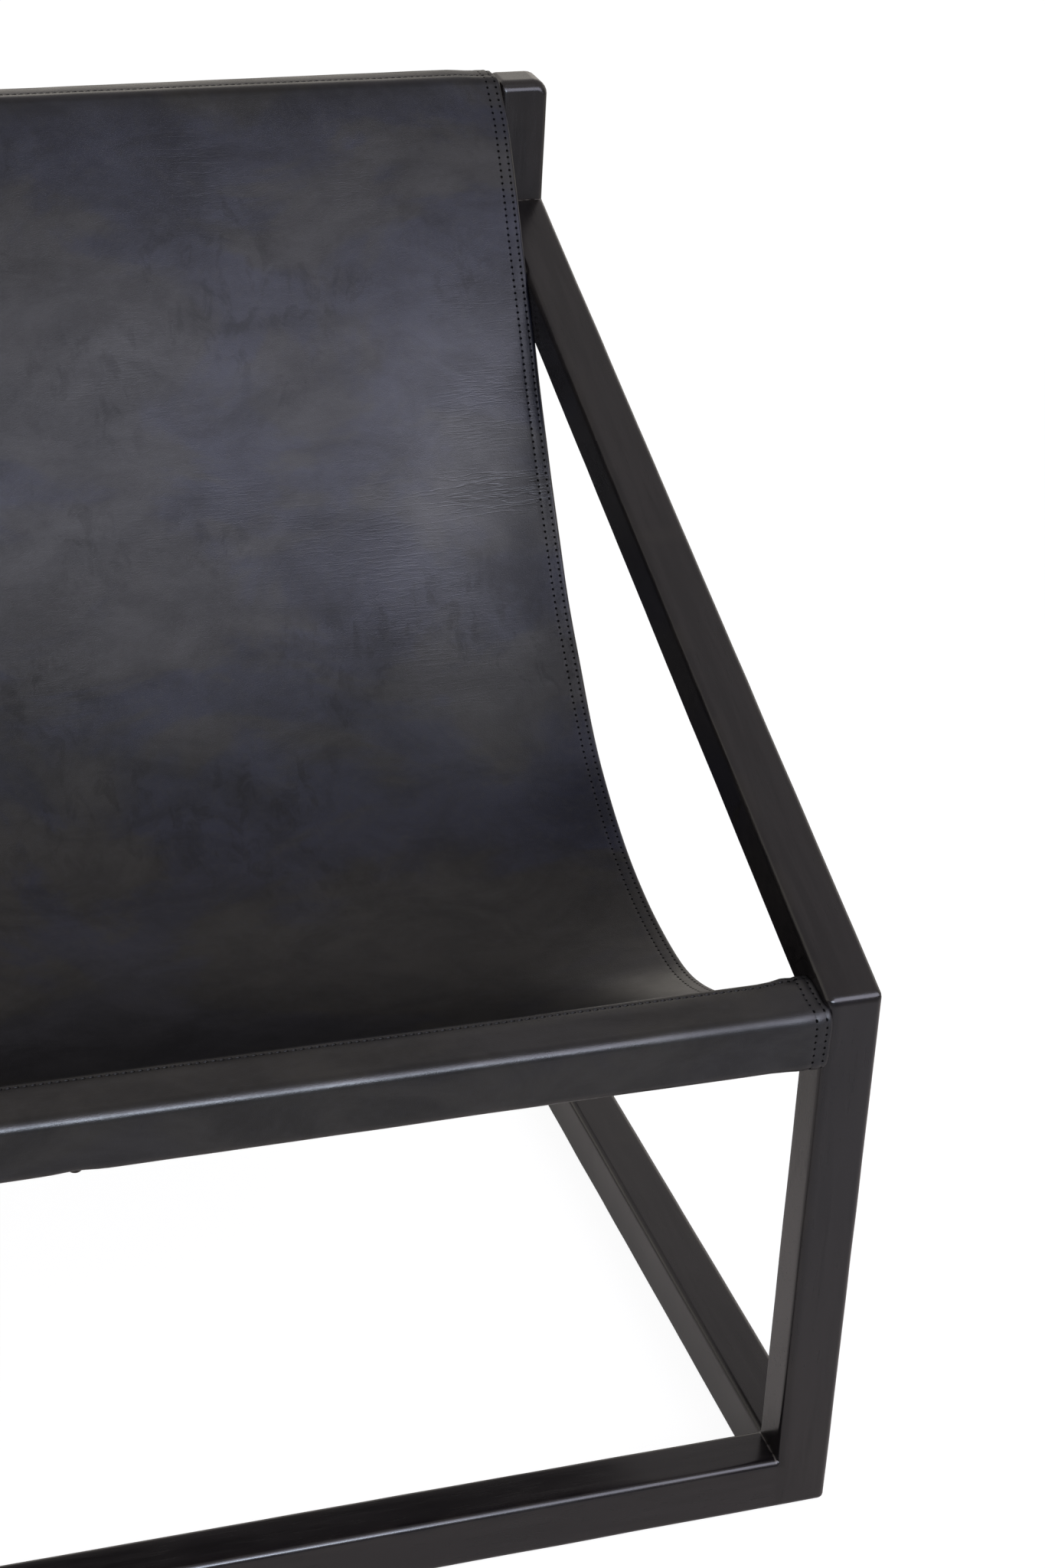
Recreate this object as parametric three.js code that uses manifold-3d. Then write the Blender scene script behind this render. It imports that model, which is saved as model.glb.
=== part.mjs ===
// Leather sling lounge chair: a black-stained timber frame with one sheet of leather slung between two rails.
// Millimetres, +Z up. The front faces -Y, and the origin lies on the floor under the middle of the frame.

import * as THREE from "three";
import { mergeVertices } from "three/addons/utils/BufferGeometryUtils.js";
import Module from "manifold-3d";

const wasm = await Module();
wasm.setup();

// Frame, measured over the timber
const FRAME_WIDTH = 720;
const FRAME_DEPTH = 752;
const FRONT_HEIGHT = 399; // front top edge of the front legs
const ARM_RISE = 268; // climb of an arm's top face from the leg's front to the post
const POST_RISE = 90; // rear post above the arm's joint
const TIMBER = 35; // width of every timber, and the height of all but the bottom rails
const BOTTOM_RAIL = 38; // height of the rails at the floor
const CLEARANCE = 0.3; // glue line or free play between neighbours
const WELD = 1e-4; // points closer than this are one point

// Rounded edges of the timber
const EDGE_RADIUS = 3;
const INSET_CORNER = 0.5; // corner radius left on a face inside its rounded edge
const ARM_CORNER_RADIUS = 5; // where an arm turns down into its leg
const POST_TOP_RADIUS = 6; // front and back edge of a post's top
const POST_CORNER_RADIUS = 12; // outer corner of a post's top
const ROUND_STEPS = 3;

// Joinery
const TENON_THICKNESS = 12;
const TENON_HEIGHT = 20;
const TENON_LENGTH = 20;
const SEAT_TENON_HEIGHT = 12;
const SEAT_TENON_LIFT = 3; // above the seat rail's underside, below the leg's mitre
const DOWEL_RADIUS = 4;
const DOWEL_LENGTH = 26;
const DOWEL_CHAMFER = 1;
const DOWEL_SPACING = 14;
const DOWEL_SIDES = 12;

// Rails inside the leather
const SEAT_RAIL_DROP = 9; // its top face below the front edge of the legs

// Leather sling
const LEATHER = 2.4;
const SLING_SIDE_GAP = 2; // between a side hem and the timber
const SEAT_DROP = 105; // lowest line of the seat below the seat rail's top
const SEAT_LOW_SETBACK = 238; // lowest line behind the frame's front
const FRONT_LEAVE_ANGLE = THREE.MathUtils.degToRad(37.5); // below level, behind the seat rail
const TOP_LEAVE_ANGLE = THREE.MathUtils.degToRad(57); // above level, below the top rail
const FRONT_HANDLE = 79; // the four handles shape the two curves that meet at the lowest line
const LOW_FRONT_HANDLE = 66;
const LOW_BACK_HANDLE = 229;
const TOP_HANDLE = 289;
const SEAM_ALLOWANCE = 14; // double leather where a sleeve is sewn to the panel
const HEM_WIDTH = 16; // double leather along each side
const SLING_STEPS = 40;
const SEAM_STEPS = 4;

// Nail that pins the front sleeve from below
const NAIL_OFFSET = 137; // left of the middle
const NAIL_SETBACK = 6; // behind the frame's front
const NAIL_HEAD_RADIUS = 4.5;
const NAIL_HEAD_HEIGHT = 3;
const NAIL_SHANK_RADIUS = 1;
const NAIL_SHANK_LENGTH = 14;
const NAIL_SIDES = 16;
const NAIL_DOME_STEPS = 4;

// Felt pads under the uprights
const PAD_RADIUS = 12;
const PAD_HEIGHT = 2;
const PAD_CHAMFER = 0.6;
const PAD_SIDES = 24;

// Places that follow from the sizes above
const HALF_WIDTH = FRAME_WIDTH / 2;
const INNER_HALF_WIDTH = HALF_WIDTH - TIMBER;
const POST_FRONT = FRAME_DEPTH - TIMBER;
const ARM_REAR_HEIGHT = FRONT_HEIGHT + ARM_RISE;
const REAR_HEIGHT = ARM_REAR_HEIGHT + POST_RISE;
const ARM_ANGLE = Math.atan2(ARM_RISE, POST_FRONT);
const ARM_PLUMB = TIMBER / Math.cos(ARM_ANGLE); // an arm's thickness measured upright
const SEAT_RAIL_TOP = FRONT_HEIGHT - SEAT_RAIL_DROP;
const SLING_WIDTH = FRAME_WIDTH - 2 * (TIMBER + SLING_SIDE_GAP);
const MID_TIMBER = TIMBER / 2;
const MID_FRONT_HEIGHT = FRONT_HEIGHT / 2;
const BEYOND = FRAME_WIDTH + FRAME_DEPTH + REAR_HEIGHT; // larger than anything that is cut

const armTop = (y) => FRONT_HEIGHT + y * Math.tan(ARM_ANGLE);
const armUnderside = (y) => armTop(y) - ARM_PLUMB;

const stainedTimber = new THREE.MeshStandardMaterial({ color: 0x2b2928, roughness: 0.45, metalness: 0 });
const charcoalLeather = new THREE.MeshStandardMaterial({ color: 0x2a2a2f, roughness: 0.5, metalness: 0 });
const beech = new THREE.MeshStandardMaterial({ color: 0xc8a878, roughness: 0.7, metalness: 0 });
const felt = new THREE.MeshStandardMaterial({ color: 0x3a3836, roughness: 0.95, metalness: 0 });
const darkSteel = new THREE.MeshStandardMaterial({ color: 0x3c3936, roughness: 0.4, metalness: 0.9 });

// Solids

function solid(geometry) {
  const bare = geometry.clone();
  bare.deleteAttribute("normal");
  bare.deleteAttribute("uv");
  const merged = mergeVertices(bare, WELD);
  return new wasm.Manifold(
    new wasm.Mesh({
      numProp: 3,
      vertProperties: merged.attributes.position.array,
      triVerts: new Uint32Array(merged.index.array),
    }),
  );
}

function geometryOf(body) {
  const { numProp, vertProperties, triVerts } = body.getMesh();
  const position = new Float32Array((vertProperties.length / numProp) * 3);
  for (let i = 0; i * numProp < vertProperties.length; i++) {
    position.set(vertProperties.subarray(i * numProp, i * numProp + 3), i * 3);
  }
  const geometry = new THREE.BufferGeometry();
  geometry.setAttribute("position", new THREE.BufferAttribute(position, 3));
  geometry.setIndex(new THREE.BufferAttribute(new Uint32Array(triVerts), 1));
  geometry.computeVertexNormals();
  return geometry;
}

const union = (bodies) => bodies.reduce((all, body) => all.add(body));

function block(x0, x1, y0, y1, z0, z1) {
  const box = new THREE.BoxGeometry(x1 - x0, y1 - y0, z1 - z0);
  box.translate((x0 + x1) / 2, (y0 + y1) / 2, (z0 + z1) / 2);
  return solid(box);
}

// Outlines

// A closed outline through the corners [u, v, radius], given anticlockwise.
function roundedOutline(corners) {
  const shape = new THREE.Shape();
  corners.forEach(([u, v, radius], i) => {
    const corner = new THREE.Vector2(u, v);
    const before = new THREE.Vector2(...corners.at(i - 1)).sub(corner).normalize();
    const after = new THREE.Vector2(...corners[(i + 1) % corners.length]).sub(corner).normalize();
    const half = Math.acos(before.dot(after)) / 2;
    const start = corner.clone().addScaledVector(before, radius / Math.tan(half));
    if (i === 0) shape.moveTo(start.x, start.y);
    else shape.lineTo(start.x, start.y);
    if (radius === 0) return;
    const middle = before.clone().add(after).normalize().multiplyScalar(radius / Math.sin(half)).add(corner);
    const end = corner.clone().addScaledVector(after, radius / Math.tan(half));
    const from = start.sub(middle).angle();
    const to = end.sub(middle).angle();
    shape.absarc(middle.x, middle.y, radius, from, to, before.cross(after) > 0);
  });
  shape.closePath();
  return shape;
}

const rectangle = (u0, v0, u1, v1, radius) =>
  roundedOutline([
    [u0, v0, radius],
    [u1, v0, radius],
    [u1, v1, radius],
    [u0, v1, radius],
  ]);

const plain = (shape, thickness) =>
  new THREE.ExtrudeGeometry(shape, { depth: thickness, bevelEnabled: false, curveSegments: ROUND_STEPS });

// An extrusion whose edges round both faces are rounded inside the outline.
function roundOver(shape, thickness) {
  const geometry = new THREE.ExtrudeGeometry(shape, {
    depth: thickness - 2 * EDGE_RADIUS,
    bevelThickness: EDGE_RADIUS,
    bevelSize: EDGE_RADIUS,
    bevelOffset: -EDGE_RADIUS,
    bevelSegments: ROUND_STEPS,
    curveSegments: ROUND_STEPS,
  });
  return geometry.translate(0, 0, EDGE_RADIUS);
}

// Stands an outline drawn in Y and Z across the chair, from x0 to the right.
function acrossFrom(x0, geometry) {
  const turn = new THREE.Matrix4().makeBasis(
    new THREE.Vector3(0, 1, 0),
    new THREE.Vector3(0, 0, 1),
    new THREE.Vector3(1, 0, 0),
  );
  return solid(geometry.applyMatrix4(turn).translate(x0, 0, 0));
}

// Stands an outline drawn in X and Z along the chair, from yEnd towards the front.
const forwardFrom = (yEnd, geometry) => solid(geometry.rotateX(Math.PI / 2).translate(0, yEnd, 0));

// Everything on one side of the line through a point, seen from the side of the chair.
function beyondLine(point, along, away) {
  const near = [-BEYOND, BEYOND].map((reach) => point.clone().addScaledVector(along, reach));
  const far = near.map((end) => end.clone().addScaledVector(away, BEYOND));
  const shape = new THREE.Shape([near[0], near[1], far[1], far[0]]);
  return acrossFrom(-BEYOND, plain(shape, 2 * BEYOND));
}

// The frame's rounded-over outlines: edges are rounded after assembly, so a corner stays full
// wherever a neighbouring timber is flush with it.

const footCorner = EDGE_RADIUS + INSET_CORNER;

const sideOutline = roundedOutline([
  [0, 0, footCorner],
  [FRAME_DEPTH, 0, footCorner],
  [FRAME_DEPTH, REAR_HEIGHT, POST_TOP_RADIUS],
  [POST_FRONT, REAR_HEIGHT, POST_TOP_RADIUS],
  [POST_FRONT, ARM_REAR_HEIGHT, 0],
  [0, FRONT_HEIGHT, ARM_CORNER_RADIUS],
]);
sideOutline.holes.push(
  roundedOutline([
    [TIMBER, BOTTOM_RAIL, 0],
    [POST_FRONT, BOTTOM_RAIL, 0],
    [POST_FRONT, armUnderside(POST_FRONT), 0],
    [TIMBER, armUnderside(TIMBER), 0],
  ]),
);

const uprightsOutline = (height, topCorner) =>
  roundedOutline([
    [-HALF_WIDTH, 0, footCorner],
    [HALF_WIDTH, 0, footCorner],
    [HALF_WIDTH, height, topCorner],
    [INNER_HALF_WIDTH, height, 0],
    [INNER_HALF_WIDTH, BOTTOM_RAIL, 0],
    [-INNER_HALF_WIDTH, BOTTOM_RAIL, 0],
    [-INNER_HALF_WIDTH, height, 0],
    [-HALF_WIDTH, height, topCorner],
  ]);

const sideFrame = acrossFrom(INNER_HALF_WIDTH, roundOver(sideOutline, TIMBER));
const sideSlab = acrossFrom(INNER_HALF_WIDTH, plain(sideOutline, TIMBER));
const frontFrame = forwardFrom(TIMBER, roundOver(uprightsOutline(armTop(TIMBER), 0), TIMBER));
const rearFrame = forwardFrom(FRAME_DEPTH, roundOver(uprightsOutline(REAR_HEIGHT, POST_CORNER_RADIUS), TIMBER));

// The mitre of a leg and an arm halves their angle, from the outer corner to the inner one.
const mitreOuter = new THREE.Vector2(0, FRONT_HEIGHT);
const mitreInner = new THREE.Vector2(TIMBER, armUnderside(TIMBER));
const mitreMiddle = mitreOuter.clone().add(mitreInner).divideScalar(2);
const mitreAlong = mitreInner.clone().sub(mitreOuter).normalize();
const mitreUp = new THREE.Vector2(-mitreAlong.y, mitreAlong.x);
const mitreDown = mitreUp.clone().negate();
const belowMitre = beyondLine(mitreMiddle.clone().addScaledVector(mitreDown, CLEARANCE / 2), mitreAlong, mitreDown);
const aboveMitre = beyondLine(mitreMiddle.clone().addScaledVector(mitreUp, CLEARANCE / 2), mitreAlong, mitreUp);

// Tenons and mortises

// At a foot, the tenon of the cross rail and that of the side rail are mitred where they meet in the upright.
// A place is p inwards from the frame's side and q inwards from its front or back.
const FRONT = { yAt: (q) => q };
const REAR = { yAt: (q) => FRAME_DEPTH - q };

function mitredTenon(end, side, crosswise, grow) {
  const near = MID_TIMBER - TENON_THICKNESS / 2 - grow;
  const far = MID_TIMBER + TENON_THICKNESS / 2 + grow;
  const shoulder = TIMBER + 2 * EDGE_RADIUS;
  const short = CLEARANCE - 2 * grow;
  const plan = [
    [shoulder, near],
    [shoulder, far],
    [far + short, far],
    [near + short, near],
  ];
  const points = plan.map(([reach, offset]) => {
    const [p, q] = crosswise ? [reach, offset] : [offset, reach];
    return new THREE.Vector2(side * (HALF_WIDTH - p), end.yAt(q));
  });
  const height = TENON_HEIGHT + 2 * grow;
  const geometry = plain(new THREE.Shape(points), height);
  return solid(geometry.translate(0, 0, (BOTTOM_RAIL - height) / 2));
}

function straightTenon(side, yMiddle, zMiddle, height, grow) {
  const inside = side * (INNER_HALF_WIDTH - 2 * EDGE_RADIUS);
  const tip = side * (INNER_HALF_WIDTH + TENON_LENGTH + grow);
  const thick = TENON_THICKNESS / 2 + grow;
  const tall = height / 2 + grow;
  return block(
    Math.min(inside, tip),
    Math.max(inside, tip),
    yMiddle - thick,
    yMiddle + thick,
    zMiddle - tall,
    zMiddle + tall,
  );
}

const seatTenon = (side, grow) =>
  straightTenon(
    side,
    MID_TIMBER,
    SEAT_RAIL_TOP - TIMBER + SEAT_TENON_LIFT + SEAT_TENON_HEIGHT / 2,
    SEAT_TENON_HEIGHT,
    grow,
  );

const topTenon = (side, grow) =>
  straightTenon(side, FRAME_DEPTH - MID_TIMBER, REAR_HEIGHT - MID_TIMBER, TENON_HEIGHT, grow);

function armTenon(grow) {
  const thick = TENON_THICKNESS / 2 + grow;
  const tall = TENON_HEIGHT / 2 + grow;
  const xMiddle = HALF_WIDTH - MID_TIMBER;
  const zMiddle = ARM_REAR_HEIGHT - ARM_PLUMB / 2;
  return block(
    xMiddle - thick,
    xMiddle + thick,
    POST_FRONT - 2 * EDGE_RADIUS,
    POST_FRONT + TENON_LENGTH + grow,
    zMiddle - tall,
    zMiddle + tall,
  );
}

const dowelTilt = mitreUp.angle();
const dowelOffsets = { inner: -DOWEL_SPACING / 2, outer: DOWEL_SPACING / 2 };

function dowelHole(offset) {
  const hole = new THREE.CylinderGeometry(
    DOWEL_RADIUS + CLEARANCE,
    DOWEL_RADIUS + CLEARANCE,
    DOWEL_LENGTH + 2 * CLEARANCE,
    DOWEL_SIDES,
  );
  hole.rotateX(dowelTilt);
  return solid(hole.translate(HALF_WIDTH - MID_TIMBER + offset, mitreMiddle.x, mitreMiddle.y));
}

const dowelHoles = union(Object.values(dowelOffsets).map(dowelHole));

// Timbers of the right side

const legSpace = block(INNER_HALF_WIDTH, HALF_WIDTH, 0, TIMBER, 0, BEYOND);
const postSpace = block(INNER_HALF_WIDTH, HALF_WIDTH, POST_FRONT, FRAME_DEPTH, 0, BEYOND);
const flushHeight = ARM_REAR_HEIGHT + MID_TIMBER; // no other timber is flush with a post above this
const belowFlush = block(-BEYOND, BEYOND, -BEYOND, BEYOND, -BEYOND, flushHeight);
const betweenUprights = (z0, z1) =>
  block(-BEYOND, BEYOND, TIMBER + CLEARANCE, POST_FRONT - CLEARANCE, z0, z1);

function frontLeg() {
  const body = frontFrame.intersect(sideSlab).add(sideFrame).intersect(legSpace).intersect(belowMitre);
  return body
    .subtract(mitredTenon(FRONT, 1, true, CLEARANCE))
    .subtract(mitredTenon(FRONT, 1, false, CLEARANCE))
    .subtract(seatTenon(1, CLEARANCE))
    .subtract(dowelHoles);
}

function rearPost() {
  const lower = rearFrame.intersect(sideSlab).add(sideFrame).intersect(belowFlush);
  const body = rearFrame.intersect(sideFrame).add(lower).intersect(postSpace);
  return body
    .subtract(mitredTenon(REAR, 1, true, CLEARANCE))
    .subtract(mitredTenon(REAR, 1, false, CLEARANCE))
    .subtract(topTenon(1, CLEARANCE))
    .subtract(armTenon(CLEARANCE));
}

function slopingArm() {
  const front = block(-BEYOND, BEYOND, -BEYOND, POST_FRONT - CLEARANCE, MID_FRONT_HEIGHT, BEYOND);
  return sideFrame.intersect(front).intersect(aboveMitre).subtract(dowelHoles).add(armTenon(0));
}

function bottomSideRail() {
  return sideFrame
    .intersect(betweenUprights(-BEYOND, MID_FRONT_HEIGHT))
    .add(mitredTenon(FRONT, 1, false, 0))
    .add(mitredTenon(REAR, 1, false, 0));
}

// Rails across the chair

const railEnd = INNER_HALF_WIDTH - CLEARANCE;
const betweenSides = block(-railEnd, railEnd, -BEYOND, BEYOND, -BEYOND, BEYOND);

const bottomCrossRail = (frame, end) =>
  frame
    .intersect(betweenSides)
    .add(mitredTenon(end, 1, true, 0))
    .add(mitredTenon(end, -1, true, 0));

function sleevedRail(y0, zTop, tenon) {
  const section = rectangle(y0, zTop - TIMBER, y0 + TIMBER, zTop, EDGE_RADIUS);
  return acrossFrom(-railEnd, plain(section, 2 * railEnd))
    .add(tenon(1, 0))
    .add(tenon(-1, 0));
}

// The nail's hole goes through the sleeve and into the seat rail.
const NAIL_HEAD_PLANE = SEAT_RAIL_TOP - TIMBER - LEATHER - 2 * CLEARANCE;

function nailHole() {
  const length = NAIL_SHANK_LENGTH + CLEARANCE;
  const radius = NAIL_SHANK_RADIUS + CLEARANCE;
  const hole = new THREE.CylinderGeometry(radius, radius, length, NAIL_SIDES).rotateX(Math.PI / 2);
  return solid(hole.translate(-NAIL_OFFSET, NAIL_SETBACK, NAIL_HEAD_PLANE + length / 2));
}

// Leather sling: a sleeve round each rail and a panel that hangs between the sleeves.

const sleeveRadius = EDGE_RADIUS + CLEARANCE + LEATHER / 2; // bend of the leather's middle round a rail's edge

function slingPath() {
  const frontEdge = new THREE.Vector2(TIMBER - EDGE_RADIUS, SEAT_RAIL_TOP - EDGE_RADIUS);
  const topEdge = new THREE.Vector2(POST_FRONT + EDGE_RADIUS, REAR_HEIGHT - EDGE_RADIUS);
  const frontAlong = new THREE.Vector2(Math.cos(FRONT_LEAVE_ANGLE), -Math.sin(FRONT_LEAVE_ANGLE));
  const topAlong = new THREE.Vector2(Math.cos(TOP_LEAVE_ANGLE), Math.sin(TOP_LEAVE_ANGLE));
  const start = frontEdge.addScaledVector(new THREE.Vector2(-frontAlong.y, frontAlong.x), sleeveRadius);
  const end = topEdge.addScaledVector(new THREE.Vector2(-topAlong.y, topAlong.x), sleeveRadius);
  const low = new THREE.Vector2(SEAT_LOW_SETBACK, SEAT_RAIL_TOP - SEAT_DROP - LEATHER / 2);
  const path = new THREE.CurvePath();
  path.add(
    new THREE.CubicBezierCurve(
      start,
      start.clone().addScaledVector(frontAlong, FRONT_HANDLE),
      low.clone().setX(low.x - LOW_FRONT_HANDLE),
      low,
    ),
  );
  path.add(
    new THREE.CubicBezierCurve(
      low,
      low.clone().setX(low.x + LOW_BACK_HANDLE),
      end.clone().addScaledVector(topAlong, -TOP_HANDLE),
      end,
    ),
  );
  return path;
}

const path = slingPath();
const pathLength = path.getLength();

// A strip that follows the path between two lengths, from one depth under its middle to another.
function strip(from, to, steps, lowest, highest) {
  const upper = [];
  const lower = [];
  for (let i = 0; i <= steps; i++) {
    const u = THREE.MathUtils.lerp(from, to, i / steps) / pathLength;
    const point = path.getPoint(u);
    const along = path.getTangent(u);
    const up = new THREE.Vector2(-along.y, along.x);
    upper.push(point.clone().addScaledVector(up, highest));
    lower.push(point.clone().addScaledVector(up, lowest));
  }
  return new THREE.Shape([...lower, ...upper.reverse()]);
}

// How far along the panel its second layer has cleared the rail and lies in the sleeve's wall.
const secondLayer = -1.5 * LEATHER;
const seamStart = (angle) =>
  (sleeveRadius - (sleeveRadius + secondLayer) * Math.sin(angle)) / Math.cos(angle);

function sleeve(y0, zTop) {
  const loose = CLEARANCE;
  const outside = CLEARANCE + LEATHER;
  const z0 = zTop - TIMBER;
  const y1 = y0 + TIMBER;
  const ring = rectangle(y0 - outside, z0 - outside, y1 + outside, zTop + outside, EDGE_RADIUS + outside);
  ring.holes.push(rectangle(y0 - loose, z0 - loose, y1 + loose, zTop + loose, EDGE_RADIUS + loose));
  return acrossFrom(-SLING_WIDTH / 2, plain(ring, SLING_WIDTH));
}

function leatherSling() {
  const full = (shape) => acrossFrom(-SLING_WIDTH / 2, plain(shape, SLING_WIDTH));
  const hemLeft = (shape) => acrossFrom(-SLING_WIDTH / 2, plain(shape, HEM_WIDTH));
  const hemRight = (shape) => acrossFrom(SLING_WIDTH / 2 - HEM_WIDTH, plain(shape, HEM_WIDTH));
  const frontSeam = seamStart(FRONT_LEAVE_ANGLE);
  const topSeam = pathLength - seamStart(TOP_LEAVE_ANGLE);
  return union([
    sleeve(0, SEAT_RAIL_TOP),
    sleeve(POST_FRONT, REAR_HEIGHT),
    full(strip(0, pathLength, SLING_STEPS, -LEATHER / 2, LEATHER / 2)),
    full(strip(frontSeam, frontSeam + SEAM_ALLOWANCE, SEAM_STEPS, secondLayer, 0)),
    full(strip(topSeam - SEAM_ALLOWANCE, topSeam, SEAM_STEPS, secondLayer, 0)),
    hemLeft(strip(frontSeam, topSeam, SLING_STEPS, secondLayer, 0)),
    hemRight(strip(frontSeam, topSeam, SLING_STEPS, secondLayer, 0)),
  ]).subtract(nailHole());
}

// Turned pieces, each round its own Y axis

const turned = (points, sides) =>
  new THREE.LatheGeometry(
    points.map(([radius, height]) => new THREE.Vector2(radius, height)),
    sides,
  );

function dowel() {
  const tip = DOWEL_LENGTH / 2;
  const outline = [
    [0, -tip],
    [DOWEL_RADIUS - DOWEL_CHAMFER, -tip],
    [DOWEL_RADIUS, -tip + DOWEL_CHAMFER],
    [DOWEL_RADIUS, tip - DOWEL_CHAMFER],
    [DOWEL_RADIUS - DOWEL_CHAMFER, tip],
    [0, tip],
  ];
  return turned(outline, DOWEL_SIDES);
}

function nail() {
  const dome = [];
  for (let step = 0; step < NAIL_DOME_STEPS; step++) {
    const turn = ((step / NAIL_DOME_STEPS) * Math.PI) / 2;
    dome.push([NAIL_HEAD_RADIUS * Math.sin(turn), -NAIL_HEAD_HEIGHT * Math.cos(turn)]);
  }
  const outline = [
    ...dome,
    [NAIL_HEAD_RADIUS, 0],
    [NAIL_SHANK_RADIUS, 0],
    [NAIL_SHANK_RADIUS, NAIL_SHANK_LENGTH - 2 * NAIL_SHANK_RADIUS],
    [0, NAIL_SHANK_LENGTH],
  ];
  return turned(outline, NAIL_SIDES);
}

function pad() {
  const top = PAD_HEIGHT - CLEARANCE;
  const outline = [
    [0, 0],
    [PAD_RADIUS - PAD_CHAMFER, 0],
    [PAD_RADIUS, PAD_CHAMFER],
    [PAD_RADIUS, top],
    [0, top],
  ];
  return turned(outline, PAD_SIDES);
}

// The chair

const chair = new THREE.Group();
chair.position.set(0, -FRAME_DEPTH / 2, PAD_HEIGHT);

function piece(name, geometry, material) {
  const mesh = new THREE.Mesh(geometry, material);
  mesh.name = name;
  chair.add(mesh);
  return mesh;
}

const handed = (name, body) => {
  const geometry = geometryOf(body);
  piece(`${name}_right`, geometry, stainedTimber);
  piece(`${name}_left`, geometry, stainedTimber).scale.x = -1;
};

handed("front_leg", frontLeg());
handed("rear_post", rearPost());
handed("sloping_arm", slopingArm());
handed("bottom_side_rail", bottomSideRail());
piece("front_bottom_rail", geometryOf(bottomCrossRail(frontFrame, FRONT)), stainedTimber);
piece("rear_bottom_rail", geometryOf(bottomCrossRail(rearFrame, REAR)), stainedTimber);
piece("front_seat_rail", geometryOf(sleevedRail(0, SEAT_RAIL_TOP, seatTenon).subtract(nailHole())), stainedTimber);
piece("top_back_rail", geometryOf(sleevedRail(POST_FRONT, REAR_HEIGHT, topTenon)), stainedTimber);
piece("leather_sling", geometryOf(leatherSling()), charcoalLeather);

const sleeveNail = piece("sleeve_nail", nail(), darkSteel);
sleeveNail.position.set(-NAIL_OFFSET, NAIL_SETBACK, NAIL_HEAD_PLANE);
sleeveNail.rotation.x = Math.PI / 2;

for (const [sideName, side] of [["right", 1], ["left", -1]]) {
  for (const [place, offset] of Object.entries(dowelOffsets)) {
    const mesh = piece(`mitre_dowel_${sideName}_${place}`, dowel(), beech);
    mesh.position.set(side * (HALF_WIDTH - MID_TIMBER + offset), mitreMiddle.x, mitreMiddle.y);
    mesh.rotation.x = dowelTilt;
  }
  for (const [endName, end] of [["front", FRONT], ["rear", REAR]]) {
    const mesh = piece(`floor_pad_${endName}_${sideName}`, pad(), felt);
    mesh.position.set(side * (HALF_WIDTH - MID_TIMBER), end.yAt(MID_TIMBER), -PAD_HEIGHT);
    mesh.rotation.x = Math.PI / 2;
  }
}

export default chair;
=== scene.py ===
# %% [markdown]
# # A leather sling lounge chair
# One sheet of charcoal leather hangs between two rails of a black-stained timber frame. This lesson dresses
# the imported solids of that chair: it rounds and parts the timber, hangs and sews the hide, and lights the
# chair like a product picture. Lengths are metres, +Z is up and the chair's front faces -Y.

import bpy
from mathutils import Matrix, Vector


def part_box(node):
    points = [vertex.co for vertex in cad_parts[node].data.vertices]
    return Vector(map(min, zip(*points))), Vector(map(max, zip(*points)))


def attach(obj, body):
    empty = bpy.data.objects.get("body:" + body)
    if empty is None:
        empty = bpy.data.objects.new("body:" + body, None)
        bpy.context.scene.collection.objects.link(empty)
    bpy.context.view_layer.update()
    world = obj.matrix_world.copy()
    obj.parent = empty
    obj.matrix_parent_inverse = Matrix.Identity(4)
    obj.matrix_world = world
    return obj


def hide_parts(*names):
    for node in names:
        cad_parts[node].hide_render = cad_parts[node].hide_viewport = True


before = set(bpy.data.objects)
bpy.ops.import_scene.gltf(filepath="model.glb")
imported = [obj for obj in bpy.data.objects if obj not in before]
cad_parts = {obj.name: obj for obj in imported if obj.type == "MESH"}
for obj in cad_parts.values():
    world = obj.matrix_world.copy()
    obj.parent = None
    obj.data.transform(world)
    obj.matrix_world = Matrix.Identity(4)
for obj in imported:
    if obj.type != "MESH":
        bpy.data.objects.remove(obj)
print("solids:", len(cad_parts))

# %% Tools for the lesson
import math
from bisect import bisect_right
from functools import partial, reduce

import bmesh
import bpy
from mathutils import Matrix, Vector, noise
from mathutils.geometry import interpolate_bezier

scene = bpy.context.scene
scene.view_settings.view_transform = "Standard"


def corners(box):
    """The lowest and the highest corner of a box."""
    return [Vector(corner) for corner in box]


def short(values):
    """Numbers for printing."""
    return [round(value, 4) for value in values]


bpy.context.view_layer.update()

# %% [markdown]
# ## The camera
# The picture looks down at the right half of the chair from the front left. Its angles and lens were worked
# out from edges of the chair that are known to be level, upright or square, so the camera is a place, three
# turns and a lens. Turning a fresh camera in this order reads like a tripod: pan, tilt, then roll.

# %% Camera
CAMERA_PLACE = (-0.40047, -1.87071, 1.43769)
PAN, TILT, ROLL = 19.1980, 28.5530, 3.0856
LENS = 73.595

camera = bpy.data.objects.new("camera", bpy.data.cameras.new("camera"))
scene.collection.objects.link(camera)
camera.data.lens = LENS
camera.matrix_world = (
    Matrix.Translation(CAMERA_PLACE)
    @ Matrix.Rotation(math.radians(-PAN), 4, "Z")
    @ Matrix.Rotation(math.radians(90.0 - TILT), 4, "X")
    @ Matrix.Rotation(math.radians(ROLL), 4, "Z")
)
scene.camera = camera
print("camera at", CAMERA_PLACE, "lens", LENS)

# %% [markdown]
# ## Nodes in one line
# A material is a tree of nodes, and most of the typing is making a node, setting its sockets and linking
# it. These helpers do that, so that each finish below can be read as a recipe.

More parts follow.
